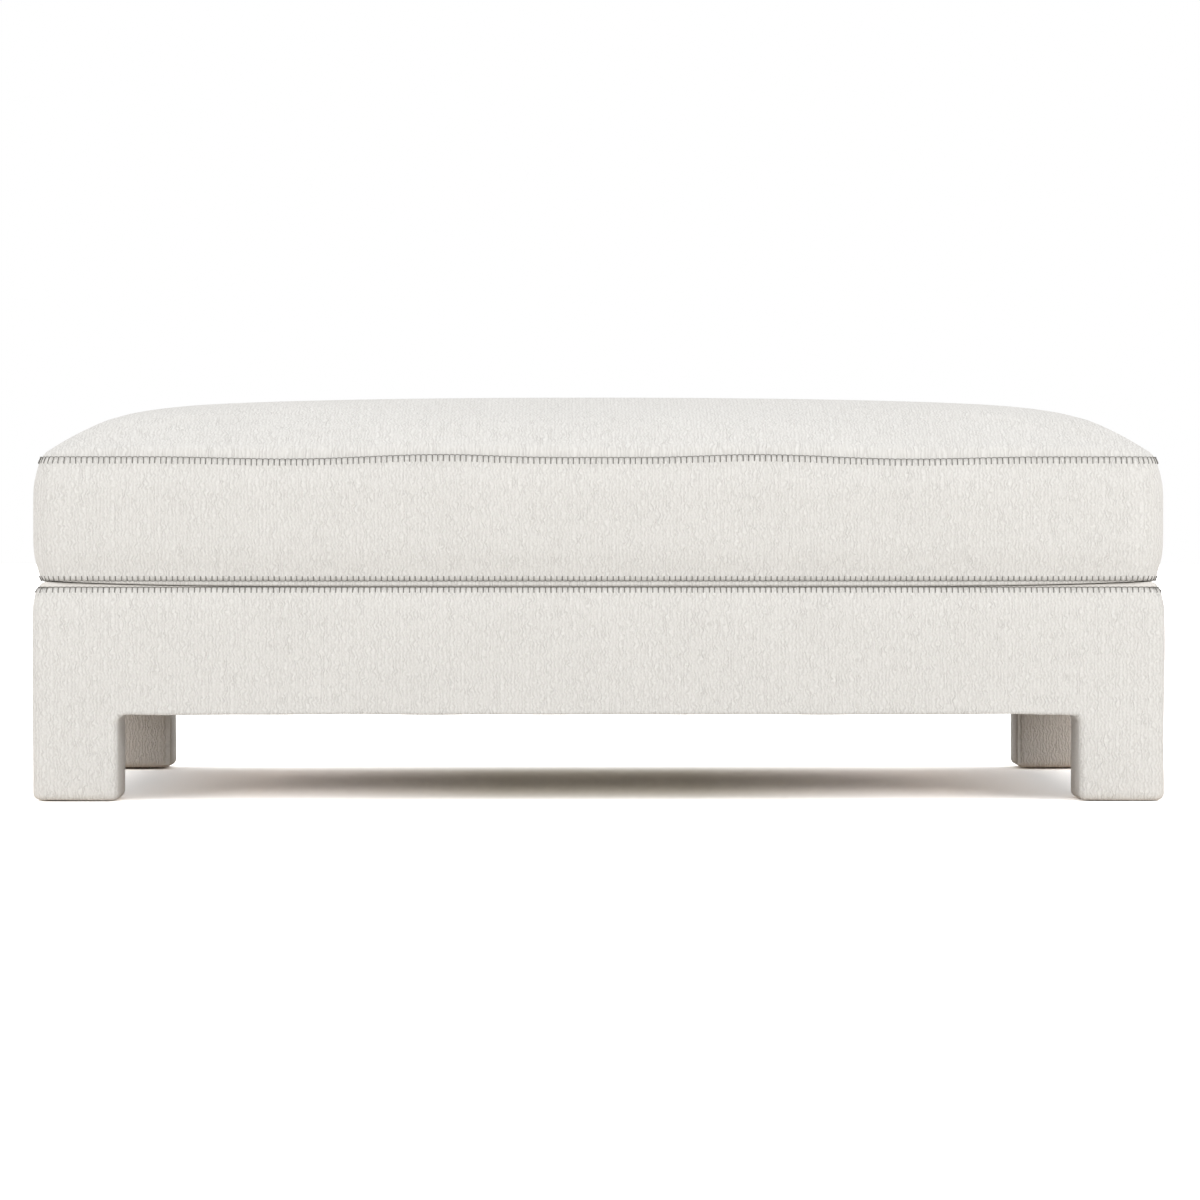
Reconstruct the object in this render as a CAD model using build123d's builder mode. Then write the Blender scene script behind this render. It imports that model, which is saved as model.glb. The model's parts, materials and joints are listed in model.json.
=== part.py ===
from build123d import *
import os
from math import atan, degrees, sqrt

# An upholstered ottoman coffee table: a padded wooden frame on four square legs, with a
# loose crowned cushion on its sprung deck. Millimetres. X runs across the front, Y towards
# the rear, Z up, and the origin is on the floor under the middle of the table.

# Overall sizes
table_width = 1320.0
table_depth = 864.0
leg_size = 100.0
apron_clearance = 102.0
base_height = 250.0

# Cushion sizes
cushion_gap = 0.3
seam_low = 258.0
boxing_height = 144.0
boxing_bulge = 7.0
cushion_corner_radius = 42.0
crown_height = 79.5
bottom_reach = 24.0

# Fabric and filling
cover_thickness = 2.0
padding_thickness = 10.0
soft_gap = 0.2
wrap_thickness = 12.0
bottom_wrap_rise = 8.0
deck_pad_thickness = 12.0
insulator_thickness = 1.5
stitch_thickness = 1.2

# Base form
base_corner_radius = 20.0
arch_radius = 8.0
cover_edge_radius = 5.0
shoulder_height = 30.0
shoulder_inset = 5.0
lip_width = 20.0

# Wooden frame
rail_thickness = 25.0
stretcher_thickness = 25.0
stretcher_height = 60.0
brace_thickness = 25.0
brace_height = 80.0
brace_gap = 0.4

# Dowels, screws and bolts
dowel_radius = 4.0
dowel_length = 60.0
dowel_end_gap = 0.5
dowel_height_shares = (0.25, 0.75)
fastener_clearance = 0.05
lag_shank_radius = 4.0
lag_head_radius = 9.0
lag_head_height = 5.0
lag_bite = 40.0
wood_screw_radius = 2.2
wood_screw_head_radius = 4.2
wood_screw_head_height = 2.5
brace_screw_length = 26.0
brace_screw_seat = 10.0
stretcher_screw_length = 62.0
stretcher_screw_height_shares = (0.25, 0.75)

# Sprung deck
spring_wire = 3.8
spring_width = 48.0
spring_bar_spacing = 23.0
spring_spacing = 127.0
clip_gauge = 1.2
clip_gap = 0.1
clip_width = 18.0
clip_tail = 11.0
clip_nail_radius = 1.2
clip_nail_length = 16.0
clip_nail_head_radius = 2.6
clip_nail_head_height = 0.8
clip_nail_share = 0.6
tie_wire = 3.0
tie_gap = 0.05
tie_place_share = 0.18

# Underside
glide_radius = 19.0
glide_height = 3.0
glide_chamfer = 0.8
glide_nail_radius = 1.6
glide_nail_length = 22.0
glide_nail_head_radius = 3.5
glide_nail_head_height = 1.2
glide_nail_recess = 0.6
dust_cover_thickness = 1.0
dust_cover_inset = 22.0
dust_cover_leg_gap = 3.0
staple_inset = 27.0
staple_spacing = 120.0
staple_end_gap = 40.0
staple_width = 10.0
staple_wire = 1.0
staple_crown = 0.5
staple_leg = 8.0

# Zipper at the back
zip_panel_width = 1150.0
zip_length = 1100.0
zip_height_share = 0.5
trough_half = 9.0
trough_depth = 8.0
tape_thickness = 1.0
coil_width = 2.8
coil_thickness = 2.4
coil_slot = 1.2
stop_length = 4.0
stop_gap = 0.5
slider_length = 14.0
slider_width = 10.0
slider_plate = 1.2
slider_gap = 0.15
slider_web_length = 5.0
slider_corner_radius = 2.5
bridge_length = 9.0
bridge_width = 3.0
bridge_wall = 1.2
bridge_window = 5.4
pull_pin_radius = 0.9
pull_pin_gap = 0.1
pull_length = 24.0
pull_width = 7.0
pull_thickness = 1.4
pull_window = 6.0
pull_side_gap = 0.4
pull_corner_radius = 2.5
core_recess_gap = 0.6

# Outlines as shares: height and bulge up the boxing, reach and drop under the bottom panel
boxing_shares = ((0, 0), (0.12, 0.66), (0.29, 0.93), (0.5, 1), (0.71, 0.93), (0.88, 0.62), (1, 0))
bottom_shares = ((0, 0), (0.12, 0.45), (0.45, 0.86), (1, 1))
bottom_round_share = 0.25

# Layers of the crown: share of its height, then the layer's reach in from the side seams and
# from the front and rear seams, and its corner radius
crown_layers = (
    (0, 0, 0, 35),
    (0.17, 8, 6, 46),
    (0.38, 25, 19, 66),
    (0.60, 55, 45, 94),
    (0.78, 104, 88, 124),
    (0.89, 168, 142, 148),
    (0.965, 248, 205, 165),
    (1, 340, 255, 160),
)

# Places worked out from the sizes
shell = cover_thickness + padding_thickness
frame_width = table_width - 2 * shell
frame_depth = table_depth - 2 * shell
leg_x = (table_width - leg_size) / 2
leg_y = (table_depth - leg_size) / 2
post_size = leg_size - 2 * shell
post_foot = glide_height + cover_thickness
shoulder_start = base_height - shoulder_height
deck_underside = base_height - cover_thickness

clip_inner_radius = spring_wire / 2 + clip_gap
clip_outer_radius = clip_inner_radius + clip_gauge
insulator_underside = deck_underside - deck_pad_thickness - insulator_thickness
spring_height = insulator_underside - clip_nail_head_height - clip_outer_radius

rail_bottom = apron_clearance + cover_thickness
rail_top = spring_height - clip_outer_radius
rail_height = rail_top - rail_bottom
long_rail_length = frame_width - 2 * post_size
side_rail_length = frame_depth - 2 * post_size
long_rail_y = (frame_depth - rail_thickness) / 2
side_rail_x = (frame_width - rail_thickness) / 2
inner_x = frame_width / 2 - rail_thickness
inner_y = frame_depth / 2 - rail_thickness

seam_high = seam_low + boxing_height
cushion_underside = base_height + cushion_gap
bottom_drop = seam_low - cushion_underside
core_underside = seam_low + bottom_wrap_rise
fill_inset = cover_thickness + soft_gap

ends = {"front": -1, "rear": 1}
sides = {"left": -1, "right": 1}
corners = {f"{e}_{s}": (sides[s], ends[e]) for e in ends for s in sides}


# Rounded base form, drawn in by inset wherever the fabric covers it and open at the top
def base_form(inset):
    width = table_width - 2 * inset
    depth = table_depth - 2 * inset
    foot = glide_height + inset
    arch_width = table_width - 2 * (leg_size - inset)
    arch_depth = table_depth - 2 * (leg_size - inset)
    arch_height = apron_clearance + inset

    def on_outline(edge):
        spot = edge.center()
        on_front = abs(abs(spot.Y) - depth / 2) < soft_gap and abs(spot.X) <= arch_width / 2
        on_side = abs(abs(spot.X) - width / 2) < soft_gap and abs(spot.Y) <= arch_depth / 2
        under = edge.bounding_box().max.Z < foot + soft_gap
        below_rim = edge.bounding_box().max.Z < arch_height + soft_gap
        return under or (below_rim and (on_front or on_side))

    with BuildPart() as form:
        with BuildSketch(Plane.XY.offset(foot)):
            RectangleRounded(width, depth, base_corner_radius - inset)
        extrude(amount=shoulder_start - foot)
        with BuildSketch(Plane.XY.offset(shoulder_start)):
            RectangleRounded(width, depth, base_corner_radius - inset)
        extrude(amount=shoulder_height, taper=degrees(atan(shoulder_inset / shoulder_height)))
        with BuildSketch(Plane.XZ):
            RectangleRounded(arch_width, 2 * arch_height, arch_radius + inset)
        extrude(amount=table_depth, both=True, mode=Mode.SUBTRACT)
        with BuildSketch(Plane.YZ):
            RectangleRounded(arch_depth, 2 * arch_height, arch_radius + inset)
        extrude(amount=table_width, both=True, mode=Mode.SUBTRACT)
        fillet(form.edges().filter_by(on_outline), cover_edge_radius - inset)
    return form.part


# Underside plan: a rectangle edge_inset in from the apron, notched leg_reach wide round each leg
def underside_plan(edge_inset, leg_reach):
    Rectangle(table_width - 2 * edge_inset, table_depth - 2 * edge_inset)
    with GridLocations(table_width, table_depth, 2, 2):
        Rectangle(2 * leg_reach, 2 * leg_reach, mode=Mode.SUBTRACT)


# Round-headed fastener: its head stands on the seat plane, its shank runs back to a point
def headed_fastener(seat, head_radius, head_height, shank_radius, shank_length):
    point = 2 * shank_radius
    with Locations(seat):
        Cylinder(head_radius, head_height, align=(Align.CENTER, Align.CENTER, Align.MIN))
        Cylinder(shank_radius, shank_length - point, align=(Align.CENTER, Align.CENTER, Align.MAX))
    with Locations(seat.offset(point - shank_length)):
        Cone(fastener_clearance, shank_radius, point, align=(Align.CENTER, Align.CENTER, Align.MAX))


# Pilot holes behind each seat plane, for the shanks of headed fasteners
def pilot_holes(seats, shank_radius, shank_length):
    with Locations(*seats):
        Cylinder(
            shank_radius + fastener_clearance,
            shank_length + fastener_clearance,
            align=(Align.CENTER, Align.CENTER, Align.MAX),
            mode=Mode.SUBTRACT,
        )


# Pockets in front of each seat plane, for heads that lie below the surface
def head_pockets(seats, head_radius, depth):
    with Locations(*seats):
        Cylinder(
            head_radius + fastener_clearance,
            depth,
            align=(Align.CENTER, Align.CENTER, Align.MIN),
            mode=Mode.SUBTRACT,
        )


# Cushion side form, bulging between its two seams
def boxing_form(inset):
    with BuildPart() as form:
        for height_share, bulge_share in boxing_shares:
            edge = inset + boxing_bulge * (1 - bulge_share)
            with BuildSketch(Plane.XY.offset(seam_low + height_share * boxing_height)):
                RectangleRounded(
                    table_width - 2 * edge, table_depth - 2 * edge, cushion_corner_radius - edge
                )
        loft()
    return form.part


# Crown over the top seam; an inner form is set back at its rim by inset and is lower by as much
def crown_form(inset):
    seam_edge = inset + boxing_bulge
    with BuildPart() as form:
        for rise_share, side_reach, end_reach, corner_radius in crown_layers:
            with BuildSketch(Plane.XY.offset(seam_high + (crown_height - inset) * rise_share)):
                RectangleRounded(
                    table_width - 2 * (seam_edge + side_reach),
                    table_depth - 2 * (seam_edge + end_reach),
                    corner_radius - inset,
                )
        loft()
    return form.part


# Shallow bottom under the lower seam, flat where it rests on the deck
def bottom_form(inset):
    seam_edge = inset + boxing_bulge
    with BuildPart() as form:
        for reach_share, drop_share in bottom_shares:
            step = bottom_reach * reach_share
            with BuildSketch(Plane.XY.offset(seam_low - (bottom_drop - inset) * drop_share)):
                RectangleRounded(
                    table_width - 2 * (seam_edge + step),
                    table_depth - 2 * (seam_edge + step),
                    cushion_corner_radius - seam_edge + bottom_round_share * step,
                )
        loft()
    return form.part


os.makedirs("parts", exist_ok=True)

# Places of the dowels, centred on the planes where the rails meet the posts
dowel_places = []
for side, end in corners.values():
    for share in dowel_height_shares:
        level = rail_bottom + share * rail_height
        long_joint = (side * long_rail_length / 2, end * long_rail_y, level)
        side_joint = (side * side_rail_x, end * side_rail_length / 2, level)
        dowel_places.append(Location(long_joint, (0, 90, 0)))
        dowel_places.append(Location(side_joint, (90, 0, 0)))

# Corner braces lie behind the posts, on lines where the two distances from the rails add up
# to brace_near and brace_far
brace_near = 2 * (post_size - rail_thickness) + brace_gap
brace_far = brace_near + brace_thickness * sqrt(2)
brace_middle = rail_bottom + rail_height / 2
brace_screw_offset = (brace_near + brace_far) / 2

# Seats of the bolts and screws, one bolt and two screws in each corner brace
lag_seats = []
brace_screw_seats = []
for side, end in corners.values():
    lag_spot = (side * (inner_x - brace_far / 2), end * (inner_y - brace_far / 2), brace_middle)
    lag_seats.append(Plane(origin=lag_spot, z_dir=(-side, -end, 0)))
    side_spot = (side * (inner_x - brace_screw_seat), end * (inner_y - brace_screw_offset), brace_middle)
    brace_screw_seats.append(Plane(origin=side_spot, z_dir=(-side, 0, 0)))
    long_spot = (side * (inner_x - brace_screw_offset), end * (inner_y - brace_screw_seat), brace_middle)
    brace_screw_seats.append(Plane(origin=long_spot, z_dir=(0, -end, 0)))
lag_length = brace_thickness + lag_bite

# Seats of the screws that hold the stretcher, sunk into the outer faces of the long rails
stretcher_screw_seats = []
for end in ends.values():
    for share in stretcher_screw_height_shares:
        seat_y = end * (frame_depth / 2 - wood_screw_head_height)
        spot = (0, seat_y, rail_bottom + share * stretcher_height)
        stretcher_screw_seats.append(Plane(origin=spot, z_dir=(0, end, 0)))

# Seats of the nails under the glides
glide_nail_level = glide_nail_recess + glide_nail_head_height
glide_nail_seats = [
    Plane(origin=(side * leg_x, end * leg_y, glide_nail_level), z_dir=(0, 0, -1))
    for side, end in corners.values()
]

# Places of the springs across the deck and of the nails in their clips
spring_count = round(long_rail_length / spring_spacing)
spring_pitch = long_rail_length / spring_count
spring_places = [(spring_pitch * (i - (spring_count - 1) / 2), 0, 0) for i in range(spring_count)]
spring_span = 2 * long_rail_y
clip_nail_y = spring_span / 2 + clip_tail * clip_nail_share
clip_nail_level = spring_height + clip_outer_radius
clip_nail_seats = [
    Plane(origin=(place[0], end * clip_nail_y, clip_nail_level), z_dir=(0, 0, 1))
    for place in spring_places
    for end in ends.values()
]

# Places of the staples round the underside
apron_run = table_width - 2 * (leg_size + staple_end_gap)
side_run = table_depth - 2 * (leg_size + staple_end_gap)
apron_staples = round(apron_run / staple_spacing) + 1
side_staples = round(side_run / staple_spacing) + 1
dust_cover_underside = apron_clearance - dust_cover_thickness
staple_places = []
for i in range(apron_staples):
    for end in ends.values():
        spot_x = apron_run * (i / (apron_staples - 1) - 0.5)
        spot = (spot_x, end * (table_depth / 2 - staple_inset), dust_cover_underside)
        staple_places.append(Location(spot))
for i in range(side_staples):
    for side in sides.values():
        spot_y = side_run * (i / (side_staples - 1) - 0.5)
        spot = (side * (table_width / 2 - staple_inset), spot_y, dust_cover_underside)
        staple_places.append(Location(spot, (0, 0, 90)))


# Slots that the staple legs pass through
def staple_slots():
    with Locations(*staple_places):
        with GridLocations(staple_width - staple_wire, 0, 2, 1):
            Box(
                staple_wire + 2 * fastener_clearance,
                staple_wire + 2 * fastener_clearance,
                staple_leg + fastener_clearance,
                align=(Align.CENTER, Align.CENTER, Align.MIN),
                mode=Mode.SUBTRACT,
            )


# Dowel holes, a little deeper than the dowels for the glue
def dowel_holes():
    with Locations(*dowel_places):
        Cylinder(
            dowel_radius + fastener_clearance, dowel_length + 2 * dowel_end_gap, mode=Mode.SUBTRACT
        )


# Posts, one in each leg
for corner, (side, end) in corners.items():
    with BuildPart() as post:
        with BuildSketch(Plane.XY.offset(post_foot)):
            with Locations((side * leg_x, end * leg_y)):
                Rectangle(post_size, post_size)
        extrude(amount=rail_top - post_foot)
        dowel_holes()
        pilot_holes(lag_seats, lag_shank_radius, lag_length)
        pilot_holes(glide_nail_seats, glide_nail_radius, glide_nail_length)
    post.part.label = f"{corner}_post"
    export_step(post.part, f"parts/{corner}_post.step")

# Rails across the front and the rear, between the posts
for end_name, end in ends.items():
    with BuildPart() as long_rail:
        with BuildSketch(Plane.XY.offset(rail_bottom)):
            with Locations((0, end * long_rail_y)):
                Rectangle(long_rail_length, rail_thickness)
        extrude(amount=rail_height)
        dowel_holes()
        staple_slots()
        pilot_holes(brace_screw_seats, wood_screw_radius, brace_screw_length)
        pilot_holes(stretcher_screw_seats, wood_screw_radius, stretcher_screw_length)
        head_pockets(stretcher_screw_seats, wood_screw_head_radius, wood_screw_head_height)
        pilot_holes(clip_nail_seats, clip_nail_radius, clip_nail_length)
    long_rail.part.label = f"{end_name}_rail"
    export_step(long_rail.part, f"parts/{end_name}_rail.step")

# Rails down the two sides
for side_name, side in sides.items():
    with BuildPart() as side_rail:
        with BuildSketch(Plane.XY.offset(rail_bottom)):
            with Locations((side * side_rail_x, 0)):
                Rectangle(rail_thickness, side_rail_length)
        extrude(amount=rail_height)
        dowel_holes()
        staple_slots()
        pilot_holes(brace_screw_seats, wood_screw_radius, brace_screw_length)
    side_rail.part.label = f"{side_name}_rail"
    export_step(side_rail.part, f"parts/{side_name}_rail.step")

# Stretcher from the front rail to the rear rail, well below the springs
with BuildPart() as center_stretcher:
    with BuildSketch(Plane.XY.offset(rail_bottom)):
        Rectangle(stretcher_thickness, 2 * inner_y)
    extrude(amount=stretcher_height)
    pilot_holes(stretcher_screw_seats, wood_screw_radius, stretcher_screw_length)
center_stretcher.part.label = "center_stretcher"
export_step(center_stretcher.part, "parts/center_stretcher.step")

# Corner braces, mitred to lie flat against both rails
for corner, (side, end) in corners.items():
    with BuildPart() as corner_brace:
        with BuildSketch(Plane.XY.offset(brace_middle - brace_height / 2)):
            with BuildLine():
                Polyline(
                    (side * inner_x, end * (inner_y - brace_near)),
                    (side * inner_x, end * (inner_y - brace_far)),
                    (side * (inner_x - brace_far), end * inner_y),
                    (side * (inner_x - brace_near), end * inner_y),
                    close=True,
                )
            make_face()
        extrude(amount=brace_height)
        pilot_holes(lag_seats, lag_shank_radius, lag_length)
        pilot_holes(brace_screw_seats, wood_screw_radius, brace_screw_length)
        head_pockets(brace_screw_seats, wood_screw_head_radius, brace_thickness)
    corner_brace.part.label = f"{corner}_corner_brace"
    export_step(corner_brace.part, f"parts/{corner}_corner_brace.step")

# Dowels between posts and rails
with BuildPart() as frame_dowels:
    with Locations(*dowel_places):
        Cylinder(dowel_radius, dowel_length)
frame_dowels.part.label = "frame_dowels"
export_step(frame_dowels.part, "parts/frame_dowels.step")

# Lag bolts through the braces into the posts
with BuildPart() as corner_lag_bolts:
    for seat in lag_seats:
        headed_fastener(seat, lag_head_radius, lag_head_height, lag_shank_radius, lag_length)
corner_lag_bolts.part.label = "corner_lag_bolts"
export_step(corner_lag_bolts.part, "parts/corner_lag_bolts.step")

# Screws through the braces into the rails
with BuildPart() as corner_brace_screws:
    for seat in brace_screw_seats:
        headed_fastener(
            seat, wood_screw_head_radius, wood_screw_head_height, wood_screw_radius, brace_screw_length
        )
corner_brace_screws.part.label = "corner_brace_screws"
export_step(corner_brace_screws.part, "parts/corner_brace_screws.step")

# Screws through the long rails into the ends of the stretcher
with BuildPart() as stretcher_screws:
    for seat in stretcher_screw_seats:
        headed_fastener(
            seat, wood_screw_head_radius, wood_screw_head_height, wood_screw_radius, stretcher_screw_length
        )
stretcher_screws.part.label = "stretcher_screws"
export_step(stretcher_screws.part, "parts/stretcher_screws.step")

# One zigzag spring from rail to rail: straight bars joined by half turns
bar_gaps = round(spring_span / spring_bar_spacing)
bar_pitch = spring_span / bar_gaps
half_bar = (spring_width - bar_pitch) / 2
with BuildPart() as zigzag_spring:
    with BuildLine(Plane.XY.offset(spring_height)):
        for bar in range(bar_gaps + 1):
            bar_y = bar * bar_pitch - spring_span / 2
            turn = 1 if bar % 2 == 0 else -1
            Line((-turn * half_bar, bar_y), (turn * half_bar, bar_y))
            if bar < bar_gaps:
                ThreePointArc(
                    (turn * half_bar, bar_y),
                    (turn * (half_bar + bar_pitch / 2), bar_y + bar_pitch / 2),
                    (turn * half_bar, bar_y + bar_pitch),
                )
    with BuildSketch(Plane(origin=(-half_bar, -spring_span / 2, spring_height), z_dir=(1, 0, 0))):
        Circle(spring_wire / 2)
    sweep()

# The row of springs across the deck
with BuildPart() as deck_springs:
    with Locations(*spring_places):
        add(zigzag_spring.part)
deck_springs.part.label = "deck_springs"
export_step(deck_springs.part, "parts/deck_springs.step")

# A pair of clips: each folds round the end bar of a spring and closes towards the deck
with BuildPart() as clip_pair:
    with BuildSketch(Plane.YZ):
        with Locations((-spring_span / 2, spring_height)):
            Circle(clip_outer_radius)
            Rectangle(clip_tail, 2 * clip_outer_radius, align=(Align.MAX, Align.CENTER))
            Circle(clip_inner_radius, mode=Mode.SUBTRACT)
            Rectangle(
                clip_tail, 2 * clip_inner_radius, align=(Align.MAX, Align.CENTER), mode=Mode.SUBTRACT
            )
    extrude(amount=clip_width / 2, both=True)
    with Locations((0, -clip_nail_y, spring_height)):
        Cylinder(clip_nail_radius + fastener_clearance, 4 * clip_outer_radius, mode=Mode.SUBTRACT)
    mirror(about=Plane.XZ)

with BuildPart() as spring_clips:
    with Locations(*spring_places):
        add(clip_pair.part)
spring_clips.part.label = "spring_clips"
export_step(spring_clips.part, "parts/spring_clips.step")

# Nails through both leaves of each clip
with BuildPart() as spring_clip_nails:
    for seat in clip_nail_seats:
        headed_fastener(
            seat, clip_nail_head_radius, clip_nail_head_height, clip_nail_radius, clip_nail_length
        )
spring_clip_nails.part.label = "spring_clip_nails"
export_step(spring_clip_nails.part, "parts/spring_clip_nails.step")

# Tie wires under the springs, from the first spring to the last
tie_length = spring_pitch * (spring_count - 1) + spring_width
tie_level = spring_height - (spring_wire + tie_wire) / 2 - tie_gap
with BuildPart() as spring_tie_wires:
    for end in ends.values():
        with Locations(Location((0, end * spring_span * tie_place_share, tie_level), (0, 90, 0))):
            Cylinder(tie_wire / 2, tie_length)
spring_tie_wires.part.label = "spring_tie_wires"
export_step(spring_tie_wires.part, "parts/spring_tie_wires.step")

# Insulator sheet over the springs
with BuildPart() as deck_insulator:
    with BuildSketch(Plane.XY.offset(insulator_underside)):
        Rectangle(frame_width, frame_depth)
    extrude(amount=insulator_thickness)
deck_insulator.part.label = "deck_insulator"
export_step(deck_insulator.part, "parts/deck_insulator.step")

# Foam pad of the deck
with BuildPart() as deck_pad:
    with BuildSketch(Plane.XY.offset(insulator_underside + insulator_thickness)):
        Rectangle(frame_width, frame_depth)
    extrude(amount=deck_pad_thickness)
deck_pad.part.label = "deck_pad"
export_step(deck_pad.part, "parts/deck_pad.step")

# Outer face of the base fabric, and its inner face
base_outside = base_form(0)
base_inside = base_form(cover_thickness)

# Deck fabric, cut to the inside of the base cover
with BuildPart() as deck_cover:
    add(base_inside)
    with BuildSketch(Plane.XY.offset(deck_underside)):
        Rectangle(table_width, table_depth)
    extrude(amount=cover_thickness, mode=Mode.INTERSECT)
deck_cover.part.label = "deck_cover"
export_step(deck_cover.part, "parts/deck_cover.step")

# Padding round each leg, and round the outside of its corner above the rails' lower edge
for corner, (side, end) in corners.items():
    with BuildPart() as leg_padding:
        add(base_inside)
        with BuildSketch(Plane.XY.offset(post_foot)):
            with Locations((side * leg_x, end * leg_y)):
                Rectangle(leg_size, leg_size)
        extrude(amount=deck_underside - post_foot, mode=Mode.INTERSECT)
        with BuildSketch(Plane.XY.offset(post_foot)):
            with Locations((side * leg_x, end * leg_y)):
                Rectangle(post_size, post_size)
        extrude(amount=deck_underside - post_foot, mode=Mode.SUBTRACT)
        with BuildSketch(Plane.XY.offset(rail_bottom)):
            Rectangle(frame_width, frame_depth)
        extrude(amount=deck_underside - rail_bottom, mode=Mode.SUBTRACT)
    leg_padding.part.label = f"{corner}_leg_padding"
    export_step(leg_padding.part, f"parts/{corner}_leg_padding.step")

# Padding on the outer faces of the front and rear rails
for end_name, end in ends.items():
    with BuildPart() as long_padding:
        add(base_inside)
        with BuildSketch(Plane.XY.offset(rail_bottom)):
            with Locations((0, end * (table_depth - shell) / 2)):
                Rectangle(table_width - 2 * leg_size, shell)
        extrude(amount=deck_underside - rail_bottom, mode=Mode.INTERSECT)
    long_padding.part.label = f"{end_name}_rail_padding"
    export_step(long_padding.part, f"parts/{end_name}_rail_padding.step")

# Padding on the outer faces of the side rails
for side_name, side in sides.items():
    with BuildPart() as side_padding:
        add(base_inside)
        with BuildSketch(Plane.XY.offset(rail_bottom)):
            with Locations((side * (table_width - shell) / 2, 0)):
                Rectangle(shell, table_depth - 2 * leg_size)
        extrude(amount=deck_underside - rail_bottom, mode=Mode.INTERSECT)
    side_padding.part.label = f"{side_name}_rail_padding"
    export_step(side_padding.part, f"parts/{side_name}_rail_padding.step")

# Base cover: a fabric skin, open over the deck and turned under the rails in a stapled lip
with BuildPart() as base_cover:
    add(base_outside)
    add(base_inside, mode=Mode.SUBTRACT)
    with BuildSketch(Plane.XY.offset(apron_clearance)):
        underside_plan(shell + lip_width, leg_size + lip_width)
    extrude(amount=cover_thickness, mode=Mode.SUBTRACT)
    staple_slots()
    pilot_holes(glide_nail_seats, glide_nail_radius, glide_nail_length)
base_cover.part.label = "base_cover"
export_step(base_cover.part, "parts/base_cover.step")

# Thread along the top edge of the base
with BuildPart() as base_edge_stitch:
    with BuildSketch(Plane.XY.offset(base_height)):
        RectangleRounded(
            table_width - 2 * shoulder_inset,
            table_depth - 2 * shoulder_inset,
            base_corner_radius - shoulder_inset,
        )
        RectangleRounded(
            table_width - 2 * (shoulder_inset + stitch_thickness),
            table_depth - 2 * (shoulder_inset + stitch_thickness),
            base_corner_radius - shoulder_inset - stitch_thickness,
            mode=Mode.SUBTRACT,
        )
    extrude(amount=stitch_thickness)
base_edge_stitch.part.label = "base_edge_stitch"
export_step(base_edge_stitch.part, "parts/base_edge_stitch.step")

# Dust cover under the frame, notched round the legs
with BuildPart() as dust_cover:
    with BuildSketch(Plane.XY.offset(dust_cover_underside)):
        underside_plan(dust_cover_inset, leg_size + arch_radius + dust_cover_leg_gap)
    extrude(amount=dust_cover_thickness)
    staple_slots()
dust_cover.part.label = "dust_cover"
export_step(dust_cover.part, "parts/dust_cover.step")

# Staples, each a crown with two legs
with BuildPart() as dust_cover_staples:
    with Locations(*staple_places):
        Box(staple_width, staple_wire, staple_crown, align=(Align.CENTER, Align.CENTER, Align.MAX))
        with GridLocations(staple_width - staple_wire, 0, 2, 1):
            Box(staple_wire, staple_wire, staple_leg, align=(Align.CENTER, Align.CENTER, Align.MIN))
dust_cover_staples.part.label = "dust_cover_staples"
export_step(dust_cover_staples.part, "parts/dust_cover_staples.step")

# Glides under the legs
for corner, (side, end) in corners.items():
    with BuildPart() as glide:
        with BuildSketch():
            with Locations((side * leg_x, end * leg_y)):
                Circle(glide_radius)
        extrude(amount=glide_height)
        chamfer(glide.edges().group_by(Axis.Z)[0], glide_chamfer)
        pilot_holes(glide_nail_seats, glide_nail_radius, glide_nail_length)
        head_pockets(glide_nail_seats, glide_nail_head_radius, glide_nail_level)
    glide.part.label = f"{corner}_glide"
    export_step(glide.part, f"parts/{corner}_glide.step")

# Nails that hold the glides
with BuildPart() as glide_nails:
    for seat in glide_nail_seats:
        headed_fastener(
            seat, glide_nail_head_radius, glide_nail_head_height, glide_nail_radius, glide_nail_length
        )
glide_nails.part.label = "glide_nails"
export_step(glide_nails.part, "parts/glide_nails.step")

# Zipper levels and depths, measured from the rear face of the cushion
zip_level = seam_low + zip_height_share * boxing_height
rear_face = table_depth / 2
tape_middle = rear_face - trough_depth - tape_thickness / 2
flange_outer = trough_half + cover_thickness
coil_outer = coil_slot / 2 + coil_width
plate_inner = coil_thickness / 2 + slider_gap
plate_outer = plate_inner + slider_plate
recess_depth = rear_face - tape_middle + plate_outer + core_recess_gap

# Foam core, recessed behind the zipper
with BuildPart() as foam_core:
    add(boxing_form(fill_inset))
    with BuildSketch(Plane.XY.offset(core_underside)):
        Rectangle(table_width, table_depth)
    extrude(amount=seam_high - core_underside, mode=Mode.INTERSECT)
    with Locations((0, rear_face, zip_level)):
        Box(
            zip_panel_width + 2 * core_recess_gap,
            2 * recess_depth,
            2 * (flange_outer + core_recess_gap),
            mode=Mode.SUBTRACT,
        )
foam_core.part.label = "foam_core"
export_step(foam_core.part, "parts/foam_core.step")

# Crowned foam topper
with BuildPart() as foam_topper:
    add(crown_form(fill_inset + wrap_thickness + soft_gap))
foam_topper.part.label = "foam_topper"
export_step(foam_topper.part, "parts/foam_topper.step")

# Fibre wrap over the topper
with BuildPart() as fibre_wrap_top:
    add(crown_form(fill_inset))
    add(crown_form(fill_inset + wrap_thickness), mode=Mode.SUBTRACT)
fibre_wrap_top.part.label = "fibre_wrap_top"
export_step(fibre_wrap_top.part, "parts/fibre_wrap_top.step")

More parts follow.
